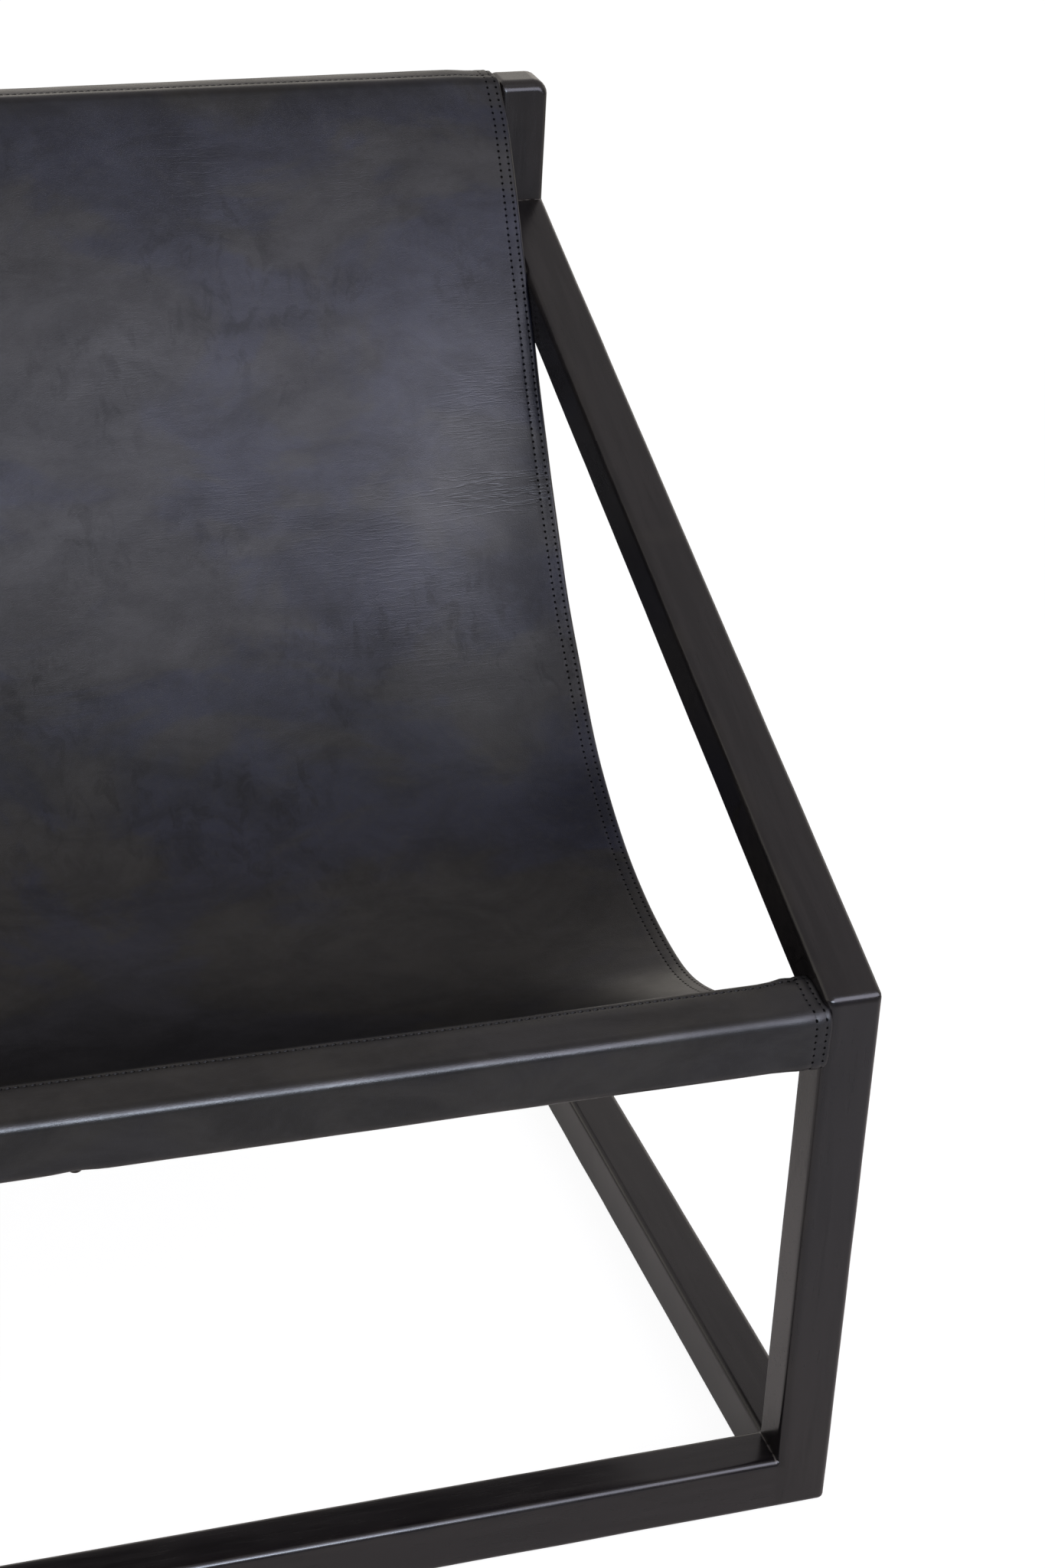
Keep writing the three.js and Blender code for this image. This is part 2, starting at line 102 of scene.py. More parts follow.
# %% Helpers for node trees
def add(tree, kind, sockets=None, **settings):
    """Make one shader node; a socket is given a number, a colour or another node's output."""
    made = tree.nodes.new("ShaderNode" + kind)
    for name, value in settings.items():
        setattr(made, name, value)
    for name, value in (sockets or {}).items():
        socket = made.inputs[name]
        if isinstance(value, bpy.types.NodeSocket):
            tree.links.new(value, socket)
        else:
            socket.default_value = (*value, 1.0) if socket.type == "RGBA" else value
    return made


def sums(tree, operation, first, second=0.0, **settings):
    """One step of arithmetic."""
    return add(tree, "Math", {0: first, 1: second}, operation=operation, **settings).outputs[0]


def plus(tree, *values):
    """Add values up."""
    return reduce(partial(sums, tree, "ADD"), values)


def times(tree, *values):
    """Multiply values."""
    return reduce(partial(sums, tree, "MULTIPLY"), values)


def largest(tree, *values):
    """The largest of several values."""
    return reduce(partial(sums, tree, "MAXIMUM"), values)


def away(tree, value, centre):
    """How far a value is from a centre, to either side."""
    return sums(tree, "ABSOLUTE", sums(tree, "SUBTRACT", value, centre))


def fade(tree, value, start, end, low=0.0, high=1.0):
    """Ease a value from low at start to high at end."""
    sockets = {"Value": value, "From Min": start, "From Max": end, "To Min": low, "To Max": high}
    return add(tree, "MapRange", sockets, interpolation_type="SMOOTHSTEP").outputs["Result"]


def mixed(tree, share, first, second):
    """Mix two colours."""
    return add(tree, "Mix", {0: share, 6: first, 7: second}, data_type="RGBA").outputs[2]


# %% Helpers for finishes
def object_place(tree):
    """The place on a piece, in metres."""
    return add(tree, "TexCoord").outputs["Object"]


def clouds(tree, where, scale, detail=3.0, roughness=0.5, distortion=0.0):
    """Noise between about 0.25 and 0.75."""
    sockets = {"Vector": where, "Scale": scale, "Detail": detail, "Roughness": roughness}
    return add(tree, "TexNoise", {**sockets, "Distortion": distortion}).outputs["Fac"]


def bump(tree, height, distance, strength=1.0, normal=None):
    """Turn a height of 0 to 1 into a dent or rise of that many metres."""
    sockets = {"Height": height, "Distance": distance, "Strength": strength}
    if normal is not None:
        sockets["Normal"] = normal
    return add(tree, "Bump", sockets).outputs["Normal"]


def new_finish(name):
    """A new material, its node tree and its shader."""
    finish = bpy.data.materials.new(name)
    finish.use_nodes = True
    return finish, finish.node_tree, finish.node_tree.nodes["Principled BSDF"]


def dress(tree, shader, colour, roughness, normal):
    """Link a recipe to its shader."""
    for name, value in (("Base Color", colour), ("Roughness", roughness), ("Normal", normal)):
        tree.links.new(value, shader.inputs[name])


def speckled(name, grain, dark, pale, rough, dents):
    """A finish of one fine noise, for small pieces; gives back the material and its shader."""
    finish, tree, shader = new_finish(name)
    speck = clouds(tree, object_place(tree), *grain)
    gloss = fade(tree, speck, 0.3, 0.7, *rough)
    dress(tree, shader, mixed(tree, speck, dark, pale), gloss, bump(tree, speck, *dents))
    return finish, shader


def shown_rays(tree):
    """1 for rays that show the room itself: to the camera, off a gloss or through glass."""
    rays = add(tree, "LightPath").outputs
    shown = plus(tree, rays["Is Camera Ray"], rays["Is Glossy Ray"])
    return sums(tree, "ADD", shown, rays["Is Transmission Ray"], use_clamp=True)


print("node helpers ready")

# %% [markdown]
# ## The white studio
# The chair stands on a white sweep of paper. A floor that is only lit white would throw too much light back
# at the dark leather, so the floor is pale for the light and white for the eye: rays that show it mix its
# lit colour, which keeps the shadow, with a glow. What the lacquer mirrors of the paper carries a painted
# pool of light and painted shade: it is brightest and warmest under the front of the chair, painted darker
# behind it where the chair's shadow falls, and dimmer far ahead of it.

# %% Floor
FLOOR_HALF = 9.0
WHITE = (1.0, 1.0, 1.0)
LIT_PAPER, SHADED_PAPER, PAINTED_DIM_FAR_PAPER = (0.80, 0.80, 0.80), (0.22, 0.22, 0.22), (0.25, 0.25, 0.25)
# Painted pool of light and painted shade, seen only in gloss: paper tones eased in along Y, from far ahead to
# behind the chair.
PAINTED_POOL_IN_GLOSS = [
    (-1.9, -1.0, (0.80, 0.77, 0.78)),
    (-0.8, -0.3, (0.90, 0.80, 0.73)),
    (0.0, 0.35, (0.44, 0.38, 0.33)),
]
GLOW_IN_GLOSS, GLOW_TO_CAMERA = 0.17, 0.93

floor_shape = bmesh.new()
bmesh.ops.create_grid(floor_shape, x_segments=1, y_segments=1, size=FLOOR_HALF)
floor_mesh = bpy.data.meshes.new("floor")
floor_shape.to_mesh(floor_mesh)
floor_shape.free()
floor = bpy.data.objects.new("floor", floor_mesh)
scene.collection.objects.link(floor)

paper, tree, shader = new_finish("white_paper")
shader.inputs["Base Color"].default_value = (*LIT_PAPER, 1.0)
shader.inputs["Roughness"].default_value = 1.0
shader.inputs["Specular IOR Level"].default_value = 0.0
to_camera = add(tree, "LightPath").outputs["Is Camera Ray"]
ahead = add(tree, "SeparateXYZ", {0: object_place(tree)}).outputs["Y"]
# Paint the pool of light and the shade behind the chair into the paper that gloss mirrors.
painted_pool = PAINTED_DIM_FAR_PAPER
for start, end, tone in PAINTED_POOL_IN_GLOSS:
    painted_pool = mixed(tree, fade(tree, ahead, start, end), painted_pool, tone)
lit = add(tree, "BsdfDiffuse", {"Color": mixed(tree, to_camera, painted_pool, SHADED_PAPER)}).outputs["BSDF"]
strength = fade(tree, to_camera, 0.0, 1.0, GLOW_IN_GLOSS, GLOW_TO_CAMERA)
glow = add(tree, "Emission", {"Color": WHITE, "Strength": strength}).outputs["Emission"]
white = add(tree, "AddShader", {0: lit, 1: glow}).outputs["Shader"]
both = add(tree, "MixShader", {0: shown_rays(tree), 1: shader.outputs["BSDF"], 2: white}).outputs["Shader"]
tree.links.new(both, tree.nodes["Material Output"].inputs["Surface"])
floor_mesh.materials.append(paper)
print("floor", 2 * FLOOR_HALF, "m square")

# %% [markdown]
# ## The light
# Black timber and dark leather show what they reflect more than their own colour. The room is white behind
# the chair and dark beside the camera, with a ceiling in half light and a paler patch on it. A wide cool
# softbox hangs high in front. The back of the sling tips towards it, which is why it is the palest part of
# the chair. It is two lamps in one place, one for gloss and one for matt faces, so each can be set by
# itself. A small low softbox draws the bright line along the front sleeve.

# %% Room
ROOM_LIGHT = 0.40
BACK_WALL, HALF_LIGHT = (1.0, 0.94, 0.86), (0.49, 0.46, 0.46)
PALE_PATCH, DARK_FRONT = (0.78, 0.79, 0.84), (0.05, 0.06, 0.09)
PATCH_WAY = (0.171, -0.470, 0.866)

room = bpy.data.worlds.new("studio")
scene.world = room
room.use_nodes = True
tree = room.node_tree
looking = add(tree, "TexCoord").outputs["Generated"]
way = add(tree, "SeparateXYZ", {0: looking}).outputs
ceiling = fade(tree, way["Z"], 0.15, 0.60)
front = fade(tree, way["Y"], 0.15, -0.25)
walls = mixed(tree, largest(tree, ceiling, front), BACK_WALL, HALF_LIGHT)
toward = add(tree, "VectorMath", {0: looking, 1: PATCH_WAY}, operation="DOT_PRODUCT").outputs["Value"]
walls = mixed(tree, fade(tree, toward, 0.968, 0.998), walls, PALE_PATCH)
walls = mixed(tree, times(tree, front, fade(tree, way["Z"], 0.40, 0.10)), walls, DARK_FRONT)
walls = mixed(tree, add(tree, "LightPath").outputs["Is Camera Ray"], walls, WHITE)
soft = mixed(tree, shown_rays(tree), (ROOM_LIGHT, ROOM_LIGHT, ROOM_LIGHT), walls)
tree.links.new(soft, tree.nodes["Background"].inputs["Color"])
print("room light", ROOM_LIGHT)


# %% Softboxes
def softbox(name, place, aim, size, watts, tint, in_gloss):
    """A rectangular lamp that looks at a point, and either shows in glossy surfaces or lights the rest."""
    lamp = bpy.data.lights.new(name, "AREA")
    lamp.shape = "RECTANGLE"
    lamp.size, lamp.size_y = size
    lamp.energy = watts
    lamp.color = tint
    made = bpy.data.objects.new(name, lamp)
    scene.collection.objects.link(made)
    made.location = place
    made.rotation_euler = (Vector(aim) - Vector(place)).to_track_quat("-Z", "Y").to_euler()
    made.visible_camera = False
    made.visible_glossy = in_gloss
    made.visible_diffuse = not in_gloss
    print("softbox", name, watts, "W")


COOL, COOLER = (0.82, 0.825, 1.0), (0.74, 0.85, 1.0)
SOFTBOX = (0.78, -1.45, 1.28), (0.15, 0.05, 0.45), (2.1, 0.9)
LOW_SOFTBOX = (0.10, -1.60, 0.92), (0.0, -0.35, 0.35), (0.70, 0.25)
softbox("softbox_in_gloss", *SOFTBOX, 28.0, COOL, True)
softbox("low_softbox_in_gloss", *LOW_SOFTBOX, 11.0, COOLER, True)
softbox("softbox_on_faces", *SOFTBOX, 23.0, COOL, False)

# %% [markdown]
# ## Black-stained timber
# The frame is open-grained wood, stained black and lacquered to a satin gloss. Grain is one noise stretched
# along the length of a bar, so the same recipe takes the size of one streak and, for the sloping arms, a
# turn. A second, finer noise gives the pores, and broad soft noise keeps the lacquer from looking sprayed
# on. Paler, browner edges and a pale line of glue along some joints, which is partly a painted highlight for
# the light that those joints catch, are painted by numbers that the pieces carry on their points.

# %% Timber finish
STREAK = (0.007, 0.10)
STAIN_DARK, STAIN_PALE, PORE = (0.0072, 0.0058, 0.0063), (0.0136, 0.0113, 0.0116), (0.0025, 0.0022, 0.0022)
EDGE_BROWN, GLUE_GLINT = (0.022, 0.018, 0.015), (0.24, 0.215, 0.195)


def stained_timber(name, along, turn=0.0):
    """Black-stained timber whose grain runs along one axis: 0, 1 or 2 for X, Y or Z."""
    finish, tree, shader = new_finish(name)
    place = object_place(tree)
    streak = [STREAK[0]] * 3
    streak[along] = STREAK[1]
    mapping = {"Vector": place, "Rotation": (turn, 0.0, 0.0), "Scale": streak}
    grain = add(tree, "Mapping", mapping, vector_type="TEXTURE").outputs["Vector"]
    figure = clouds(tree, grain, 1.0, 4.0, 0.6, 0.4)
    pores = clouds(tree, grain, 4.5, 3.0, 0.6)
    colour = mixed(tree, fade(tree, figure, 0.34, 0.66), STAIN_DARK, STAIN_PALE)
    colour = mixed(tree, fade(tree, pores, 0.58, 0.70, 0.0, 0.6), colour, PORE)
    # Paler and browner along the rounded edges, in patches.
    edge_share = add(tree, "Attribute", attribute_name="edge_share").outputs["Fac"]
    patchy_edges = times(tree, edge_share, fade(tree, clouds(tree, place, 30.0, 3.0), 0.42, 0.62), 0.5)
    colour = mixed(tree, patchy_edges, colour, EDGE_BROWN)
    # A pale line of glue along some joints, broken by noise; it is partly a painted highlight for the light
    # the joint catches.
    glint_mark = add(tree, "Attribute", attribute_name="glue_glint_line").outputs["Fac"]
    broken_glint = times(tree, glint_mark, fade(tree, clouds(tree, place, 160.0, 3.0), 0.34, 0.56))
    colour = mixed(tree, broken_glint, colour, GLUE_GLINT)
    lacquer = fade(tree, clouds(tree, place, 14.0, 2.0), 0.30, 0.70, 0.19, 0.25)
    height = add(tree, "SeparateXYZ", {0: place}).outputs["Z"]
    dull_top = fade(tree, height, 0.68, 0.75, 0.0, 0.05)
    gloss = plus(tree, lacquer, fade(tree, pores, 0.50, 0.72, 0.0, 0.06), dull_top)
    open_grain = bump(tree, fade(tree, pores, 0.72, 0.50), 0.00002, 0.5)
    dress(tree, shader, colour, gloss, bump(tree, figure, 0.00006, 0.3, open_grain))
    return finish


upright_timber = stained_timber("upright_timber", 2)
side_timber = stained_timber("side_timber", 1)
cross_timber = stained_timber("cross_timber", 0)
print("timber streak", STREAK)

# %% [markdown]
# ## The frame, as one rounded form
# The maker glued the frame up first and rounded its edges over afterwards, so the round edges run on
# through every joint and meet in small mitres inside the corners. That is easiest to copy by doing the
# same: model the whole frame as one square-edged form, round it with one Bevel, and only then saw it into
# its timbers. The timbers are up to two millimetres fuller than their plain solids, as the outlines in the
# picture measure.

# %% Sizes of the frame
TIMBER, RAIL_HIGH = 0.035, 0.040
OUTER, INNER = 0.361, 0.324
FRONT, BACK = -0.376, 0.376
LEG_BACK, POST_FRONT = FRONT + TIMBER, BACK - TIMBER
FOOT, FRONT_TOP, POST_TOP = 0.001, 0.401, 0.759
ARM_RISE = 0.268
ARM_TOP = FRONT_TOP + ARM_RISE
SLOPE = ARM_RISE / (POST_FRONT - FRONT)
PLUMB = TIMBER * math.hypot(1.0, SLOPE)
ARM_UNDER = FRONT_TOP + SLOPE * TIMBER - PLUMB
MID_X, LEG_Y, POST_Y = (INNER + OUTER) / 2, FRONT + TIMBER / 2, BACK - TIMBER / 2
RAIL_TOP, RAIL_Z = FOOT + RAIL_HIGH, FOOT + RAIL_HIGH / 2
sloping_timber = stained_timber("sloping_timber", 1, math.atan(SLOPE))
print("arm slope", round(math.degrees(math.atan(SLOPE)), 2), "degrees")


# %% Helpers for the frame
def face_at(shape, *place):
    """The face whose middle is nearest to a point."""
    return min(shape.faces, key=lambda face: (face.calc_center_median() - Vector(place)).length)


def pull(shape, face, *move):
    """Extrude one face and move the new end."""
    end = bmesh.ops.extrude_discrete_faces(shape, faces=[face])["faces"][0]
    bmesh.ops.translate(shape, verts=end.verts, vec=move)
    return end


def everything(shape):
    """All points, edges and faces, for the operators that ask for them."""
    return shape.verts[:] + shape.edges[:] + shape.faces[:]


def middle(edge):
    """The middle of an edge."""
    return (edge.verts[0].co + edge.verts[1].co) / 2


print("frame helpers ready")

# %% Right half of the frame, square-edged
timber = bmesh.new()
foot_size = Matrix.Diagonal((OUTER - INNER, TIMBER, RAIL_HIGH, 1.0))
bmesh.ops.create_cube(timber, size=1.0, matrix=Matrix.Translation((MID_X, LEG_Y, RAIL_Z)) @ foot_size)
leg_end = pull(timber, face_at(timber, MID_X, LEG_Y, RAIL_TOP), 0.0, 0.0, ARM_UNDER - RAIL_TOP)
corner = pull(timber, leg_end, 0.0, 0.0, FRONT_TOP - ARM_UNDER)
for vert in corner.verts:
    if vert.co.y > LEG_Y:
        vert.co.z += SLOPE * TIMBER
run = POST_FRONT - LEG_BACK
arm_end = pull(timber, face_at(timber, MID_X, LEG_BACK, ARM_UNDER + PLUMB / 2), 0.0, run, run * SLOPE)
pull(timber, arm_end, 0.0, TIMBER, 0.0)
pull(timber, face_at(timber, MID_X, POST_Y, ARM_TOP), 0.0, 0.0, POST_TOP - ARM_TOP)
knee = pull(timber, face_at(timber, MID_X, POST_Y, ARM_TOP - PLUMB), 0.0, 0.0, RAIL_TOP - ARM_TOP + PLUMB)
pull(timber, knee, 0.0, 0.0, -RAIL_HIGH)
middles = [pull(timber, face_at(timber, INNER, y, RAIL_Z), -INNER, 0.0, 0.0) for y in (LEG_Y, POST_Y)]
bmesh.ops.delete(timber, geom=middles, context="FACES_ONLY")
rail_ends = [face_at(timber, MID_X, y, RAIL_Z) for y in (LEG_BACK, POST_FRONT)]
rail_rims = [edge for face in rail_ends for edge in face.edges]
bmesh.ops.delete(timber, geom=rail_ends, context="FACES_ONLY")
bmesh.ops.bridge_loops(timber, edges=rail_rims)
print("half frame faces:", len(timber.faces))

# %% Whole frame, with its flat faces joined up
NEAR, FLAT_TURN = 0.0001, 0.01

bmesh.ops.mirror(timber, geom=everything(timber), axis="X", merge_dist=1e-5)
bmesh.ops.recalc_face_normals(timber, faces=timber.faces)
bmesh.ops.bisect_plane(timber, geom=everything(timber), plane_co=(0, 0, 0), plane_no=(0, 1, 0))
flat_edges = [
    edge for edge in timber.edges
    if abs(edge.calc_face_angle(0.0)) < FLAT_TURN and max(abs(vert.co.y) for vert in edge.verts) > NEAR
]
bmesh.ops.dissolve_edges(timber, edges=flat_edges, use_verts=True)
print("frame faces:", len(timber.faces), "open edges:", sum(edge.is_boundary for edge in timber.edges))

# %% Choose how round each edge is
EDGE_ROUND, FRONT_ROUND, LEG_TOP_ROUND, POST_TOP_ROUND, POST_CORNER = 0.0045, 0.0055, 0.0050, 0.008, 0.010
OUTSIDE_TURN = 0.5


def edge_radius(at):
    """The radius of the edge whose middle is at a point."""
    if at.z > POST_TOP - POST_CORNER and abs(at.x) > INNER + 0.001:
        rise = (at.z - POST_TOP + POST_CORNER) / POST_CORNER
        return EDGE_ROUND + (POST_TOP_ROUND - EDGE_ROUND) * rise
    inside = abs(abs(at.x) - INNER) < NEAR
    on_front = abs(at.y - FRONT) < NEAR
    off_arm_top = at.z - FRONT_TOP - SLOPE * (at.y - FRONT)
    along_arm = inside and abs(off_arm_top) < 0.002 and abs(at.y) < POST_FRONT
    if along_arm or on_front and (inside or abs(at.z - RAIL_TOP) < NEAR):
        return FRONT_ROUND
    if (at - Vector((math.copysign(MID_X, at.x), FRONT, FRONT_TOP))).length < 0.004:
        return LEG_TOP_ROUND
    return EDGE_ROUND


post_corners = [
    edge for edge in timber.edges
    if (middle(edge) - Vector((math.copysign(OUTER, middle(edge).x), POST_Y, POST_TOP))).length < 0.001
]
bmesh.ops.bevel(
    timber, geom=post_corners, offset=POST_CORNER, offset_type="OFFSET", segments=6,
    affect="EDGES", profile=0.5, material=-1,
)
weight = timber.edges.layers.float.new("bevel_weight_edge")
for edge in timber.edges:
    if edge.calc_face_angle_signed(0.0) >= OUTSIDE_TURN:
        edge[weight] = edge_radius(middle(edge)) / POST_TOP_ROUND
print("post corners:", len(post_corners))

# %% Round the frame over
square_mesh = bpy.data.meshes.new("square_frame")
timber.to_mesh(square_mesh)
timber.free()
square_frame = bpy.data.objects.new("square_frame", square_mesh)
scene.collection.objects.link(square_frame)
rounding = square_frame.modifiers.new("rounding", "BEVEL")
rounding.limit_method = "WEIGHT"
rounding.offset_type = "OFFSET"
rounding.width = POST_TOP_ROUND
rounding.segments = 5
rounding.profile = 0.5
rounding.use_clamp_overlap = False
rounded = bmesh.new()
rounded.from_object(square_frame, bpy.context.evaluated_depsgraph_get())
bpy.data.objects.remove(square_frame)
bpy.data.meshes.remove(square_mesh)
print("rounded faces:", len(rounded.faces))

# %% [markdown]
# ## Hand-planed faces
# The lacquered edges in the picture carry a bright line that wanders a little, because the faces were
# planed and sanded by hand. Cutting the form into short lengths gives it enough points to wander too: each
# point moves along its own normal by a tenth of a millimetre or so.

# %% Plane the faces
STEP = 0.012
SCORE = (-0.008, 0.0, 0.008)
LONG_WAVE, SHORT_WAVE = (0.00022, 20.0), (0.00007, 70.0)
FULL_EDGE_TURN = 0.35


def cut_across(shape, axis, places):
    """Score every face with planes square to one axis."""
    across = [float(axis == other) for other in range(3)]
    for place in places:
        bmesh.ops.bisect_plane(
            shape, geom=everything(shape), plane_co=[place * part for part in across], plane_no=across,
        )


def steps(low, high):
    """Places about a step apart between two ends."""
    count = round((high - low) / STEP)
    return [low + (high - low) * (index + 0.5) / count for index in range(count)]


on_sides = [side * (MID_X + part) for side in (-1, 1) for part in SCORE]
on_uprights = [y + part for y in (LEG_Y, POST_Y) for part in SCORE]
cut_across(rounded, 0, steps(-INNER, INNER) + on_sides)
cut_across(rounded, 1, steps(LEG_BACK, POST_FRONT) + on_uprights)
cut_across(rounded, 2, [RAIL_Z + part for part in SCORE] + steps(RAIL_TOP, POST_TOP - POST_CORNER))
rounded.normal_update()
for vert in rounded.verts:
    wander = sum(height * noise.noise(vert.co * rate) for height, rate in (LONG_WAVE, SHORT_WAVE))
    vert.co += vert.normal * wander
# Each point keeps how sharply the form turns there, and the timber finish makes those places paler and
# browner.
edge_layer = rounded.verts.layers.float.new("edge_share")
for vert in rounded.verts:
    turn = max((abs(edge.calc_face_angle(0.0)) for edge in vert.link_edges), default=0.0)
    vert[edge_layer] = min(turn / FULL_EDGE_TURN, 1.0)
print("planed frame:", len(rounded.verts), "points")

# %% [markdown]
# ## Sawing the frame into timbers
# Each timber is the part of the rounded form on one side of a few planes, so bisect_plane cuts it free and
# holes_fill closes the ends. The arm is mitred to the leg, from the front top edge down to the inside
# corner, and butts against the post with a hairline gap. A fine pale line of glue shows there and at the ends
# of the bottom rails; it is partly a painted highlight for the light that these joints catch.

# %% Helpers for pieces
TIMBER_SHARP, TURNED_SHARP = 50.0, 40.0
GLINT_WIDTH, ON_PLANE, FACING_UP = 0.0014, 1e-5, 0.6


def new_piece(name, shape, *finishes):
    """Make an object of a bmesh, smooth-shaded, and let it ride on the chair's one body."""
    mesh = bpy.data.meshes.new(name)
    shape.to_mesh(mesh)
    shape.free()
    for finish in finishes:
        mesh.materials.append(finish)
    mesh.shade_smooth()
    piece = bpy.data.objects.new(name, mesh)
    scene.collection.objects.link(piece)
    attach(piece, "root")
    return piece


def keep_edges(piece, degrees):
    """Sharpen edges past an angle and let the large faces set the shading of the rest."""
    piece.data.set_sharp_from_angle(angle=math.radians(degrees))
    even = piece.modifiers.new("even_shading", "WEIGHTED_NORMAL")
    even.keep_sharp = True


def sawn(name, finish, planes, glint_planes=()):
    """The part of the rounded frame in front of every plane, given as a point and a direction.

    A fine pale line of glue, partly a painted highlight for the light the joint catches, shows on top of the
    piece along the planes of the second list.
    """
    shape = rounded.copy()
    for point, direction in planes:
        bmesh.ops.bisect_plane(
            shape, geom=everything(shape), plane_co=point, plane_no=direction, clear_inner=True,
        )
    # Up-facing points on a glued plane carry the pale glue line, partly a painted highlight.
    glint_mark = shape.verts.layers.float.new("glue_glint_line")
    for point, direction in glint_planes:
        inside = Vector(point) + GLINT_WIDTH * Vector(direction)
        bmesh.ops.bisect_plane(shape, geom=everything(shape), plane_co=inside, plane_no=direction)
        shape.normal_update()
        for vert in shape.verts:
            off_plane = abs((vert.co - Vector(point)).dot(direction))
            if off_plane < ON_PLANE and vert.normal.z > FACING_UP:
                vert[glint_mark] = 1.0
    rims = [edge for edge in shape.edges if edge.is_boundary]
    bmesh.ops.holes_fill(shape, edges=rims, sides=0)
    bmesh.ops.recalc_face_normals(shape, faces=shape.faces)
    piece = new_piece(name, shape, finish)
    keep_edges(piece, TIMBER_SHARP)
    print(name, len(piece.data.polygons), "faces")
    return piece


# %% Saw the timbers
HAIRLINE, BELOW_ARMS = 0.0003, (0, 0, 0.15)
UP, DOWN, AHEAD, BEHIND = (0, 0, 1), (0, 0, -1), (0, -1, 0), (0, 1, 0)
mitre_point = (0.0, FRONT, FRONT_TOP)
mitre_up = Vector((0.0, FRONT_TOP - ARM_UNDER, TIMBER)).normalized()

for side, sign in (("left", -1), ("right", 1)):
    beside = ((sign * INNER, 0, 0), (sign, 0, 0))
    leg = sawn("rounded_front_leg_" + side, upright_timber, [
        beside, ((0, LEG_BACK, 0), AHEAD), (mitre_point, -mitre_up)])
    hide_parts("front_leg_" + side)
    post = sawn("rounded_rear_post_" + side, upright_timber, [beside, ((0, POST_FRONT, 0), BEHIND)])
    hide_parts("rear_post_" + side)
    rail = sawn("rounded_side_rail_" + side, side_timber, [
        beside, ((0, LEG_BACK, 0), BEHIND), ((0, POST_FRONT, 0), AHEAD), (BELOW_ARMS, DOWN)])
    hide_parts("bottom_side_rail_" + side)
    butt = ((0, POST_FRONT - HAIRLINE, 0), AHEAD)
    arm = sawn("rounded_sloping_arm_" + side, sloping_timber, [
        beside, (mitre_point, mitre_up), butt, (BELOW_ARMS, UP)], [butt])
    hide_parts("sloping_arm_" + side, "mitre_dowel_%s_inner" % side, "mitre_dowel_%s_outer" % side)

between = [((-INNER, 0, 0), (1, 0, 0)), ((INNER, 0, 0), (-1, 0, 0))]
for end, outward in (("front", AHEAD), ("rear", BEHIND)):
    rail = sawn("rounded_%s_rail" % end, cross_timber, between + [((0, 0, 0), outward)], between)
    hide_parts(end + "_bottom_rail")
rounded.free()

# %% [markdown]
# ## The rails inside the sleeves
# The leather is sewn round a rail at the front and another at the top. Both hide in their sleeves and only
# their ends can be seen, so each is a bar with well-rounded edges for the leather to bend over. A shallow
# rebate at each end makes room for the doubled hem, which is why the sleeve barely swells there.

# %% Sleeved rails
RAIL_ROUND = 0.005
REBATE_IN, REBATE_OUT = 0.296, 0.300
FRONT_REBATE, TOP_REBATE = 0.0024, 0.0040


def sleeved_rail(name, node, rebate):
    """A bar between the uprights, as high and deep as its node, with rebated ends; gives its corners."""
    low, high = corners(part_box(node))
    low.x, high.x = -INNER, INNER
    centre = (low + high) / 2
    shape = bmesh.new()
    size = Matrix.Diagonal((*(high - low), 1.0))
    bmesh.ops.create_cube(shape, size=1.0, matrix=Matrix.Translation(centre) @ size)
    long_edges = [edge for edge in shape.edges if abs(edge.verts[0].co.x - edge.verts[1].co.x) > INNER]
    bmesh.ops.bevel(
        shape, geom=long_edges, offset=RAIL_ROUND, offset_type="OFFSET", segments=5,
        affect="EDGES", profile=0.5, material=-1,
    )
    for shoulder in (-REBATE_IN, REBATE_OUT, -REBATE_OUT, REBATE_IN):
        bmesh.ops.bisect_plane(
            shape, geom=everything(shape), plane_co=(shoulder, 0, 0), plane_no=(1, 0, 0))
    for vert in shape.verts:
        if abs(vert.co.x) > REBATE_IN + NEAR:
            vert.co.y += math.copysign(rebate, centre.y - vert.co.y)
            vert.co.z += math.copysign(rebate, centre.z - vert.co.z)
    piece = new_piece(name, shape, cross_timber)
    keep_edges(piece, TIMBER_SHARP)
    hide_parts(node)
    print(name, short(low), short(high))
    return low, high


front_low, front_high = sleeved_rail("sleeved_front_rail", "front_seat_rail", FRONT_REBATE)
top_low, top_high = sleeved_rail("sleeved_top_rail", "top_back_rail", TOP_REBATE)

# %% [markdown]
# ## The line of the sling
# Seen from the side the hide is one long line. It starts as a flap on the front rail, goes once round that
# rail with a little slack below it, laps over its own flap, hangs down and back as the seat and back,
# climbs over the top rail and goes round it to a second flap. The hanging part is two Bezier curves that
# meet at the lowest point, as on the solids.

# %% Helpers for the line
LEATHER = 0.0024
BEND = RAIL_ROUND + 0.0003 + LEATHER / 2
LAP_BEND = BEND + LEATHER


def arc(centre, radius, start, end, count):
    """Points of a bend in the side view, in degrees from the back upwards."""
    angles = [math.radians(start + (end - start) * step / count) for step in range(count + 1)]
    return [centre + radius * Vector((0.0, math.cos(angle), math.sin(angle))) for angle in angles]


def line(start, end, count):
    """Points between two ends, without the ends."""
    return [start.lerp(end, step / count) for step in range(1, count)]


def bends(low, high, slack=0.0):
    """The middles of the leather's bends round a rail: top front, top back, bottom back, bottom front."""
    y0, y1 = low.y + RAIL_ROUND, high.y - RAIL_ROUND
    z0, z1 = low.z + RAIL_ROUND - slack, high.z - RAIL_ROUND
    return [Vector((0.0, y, z)) for y, z in ((y0, z1), (y1, z1), (y1, z0), (y0, z0))]


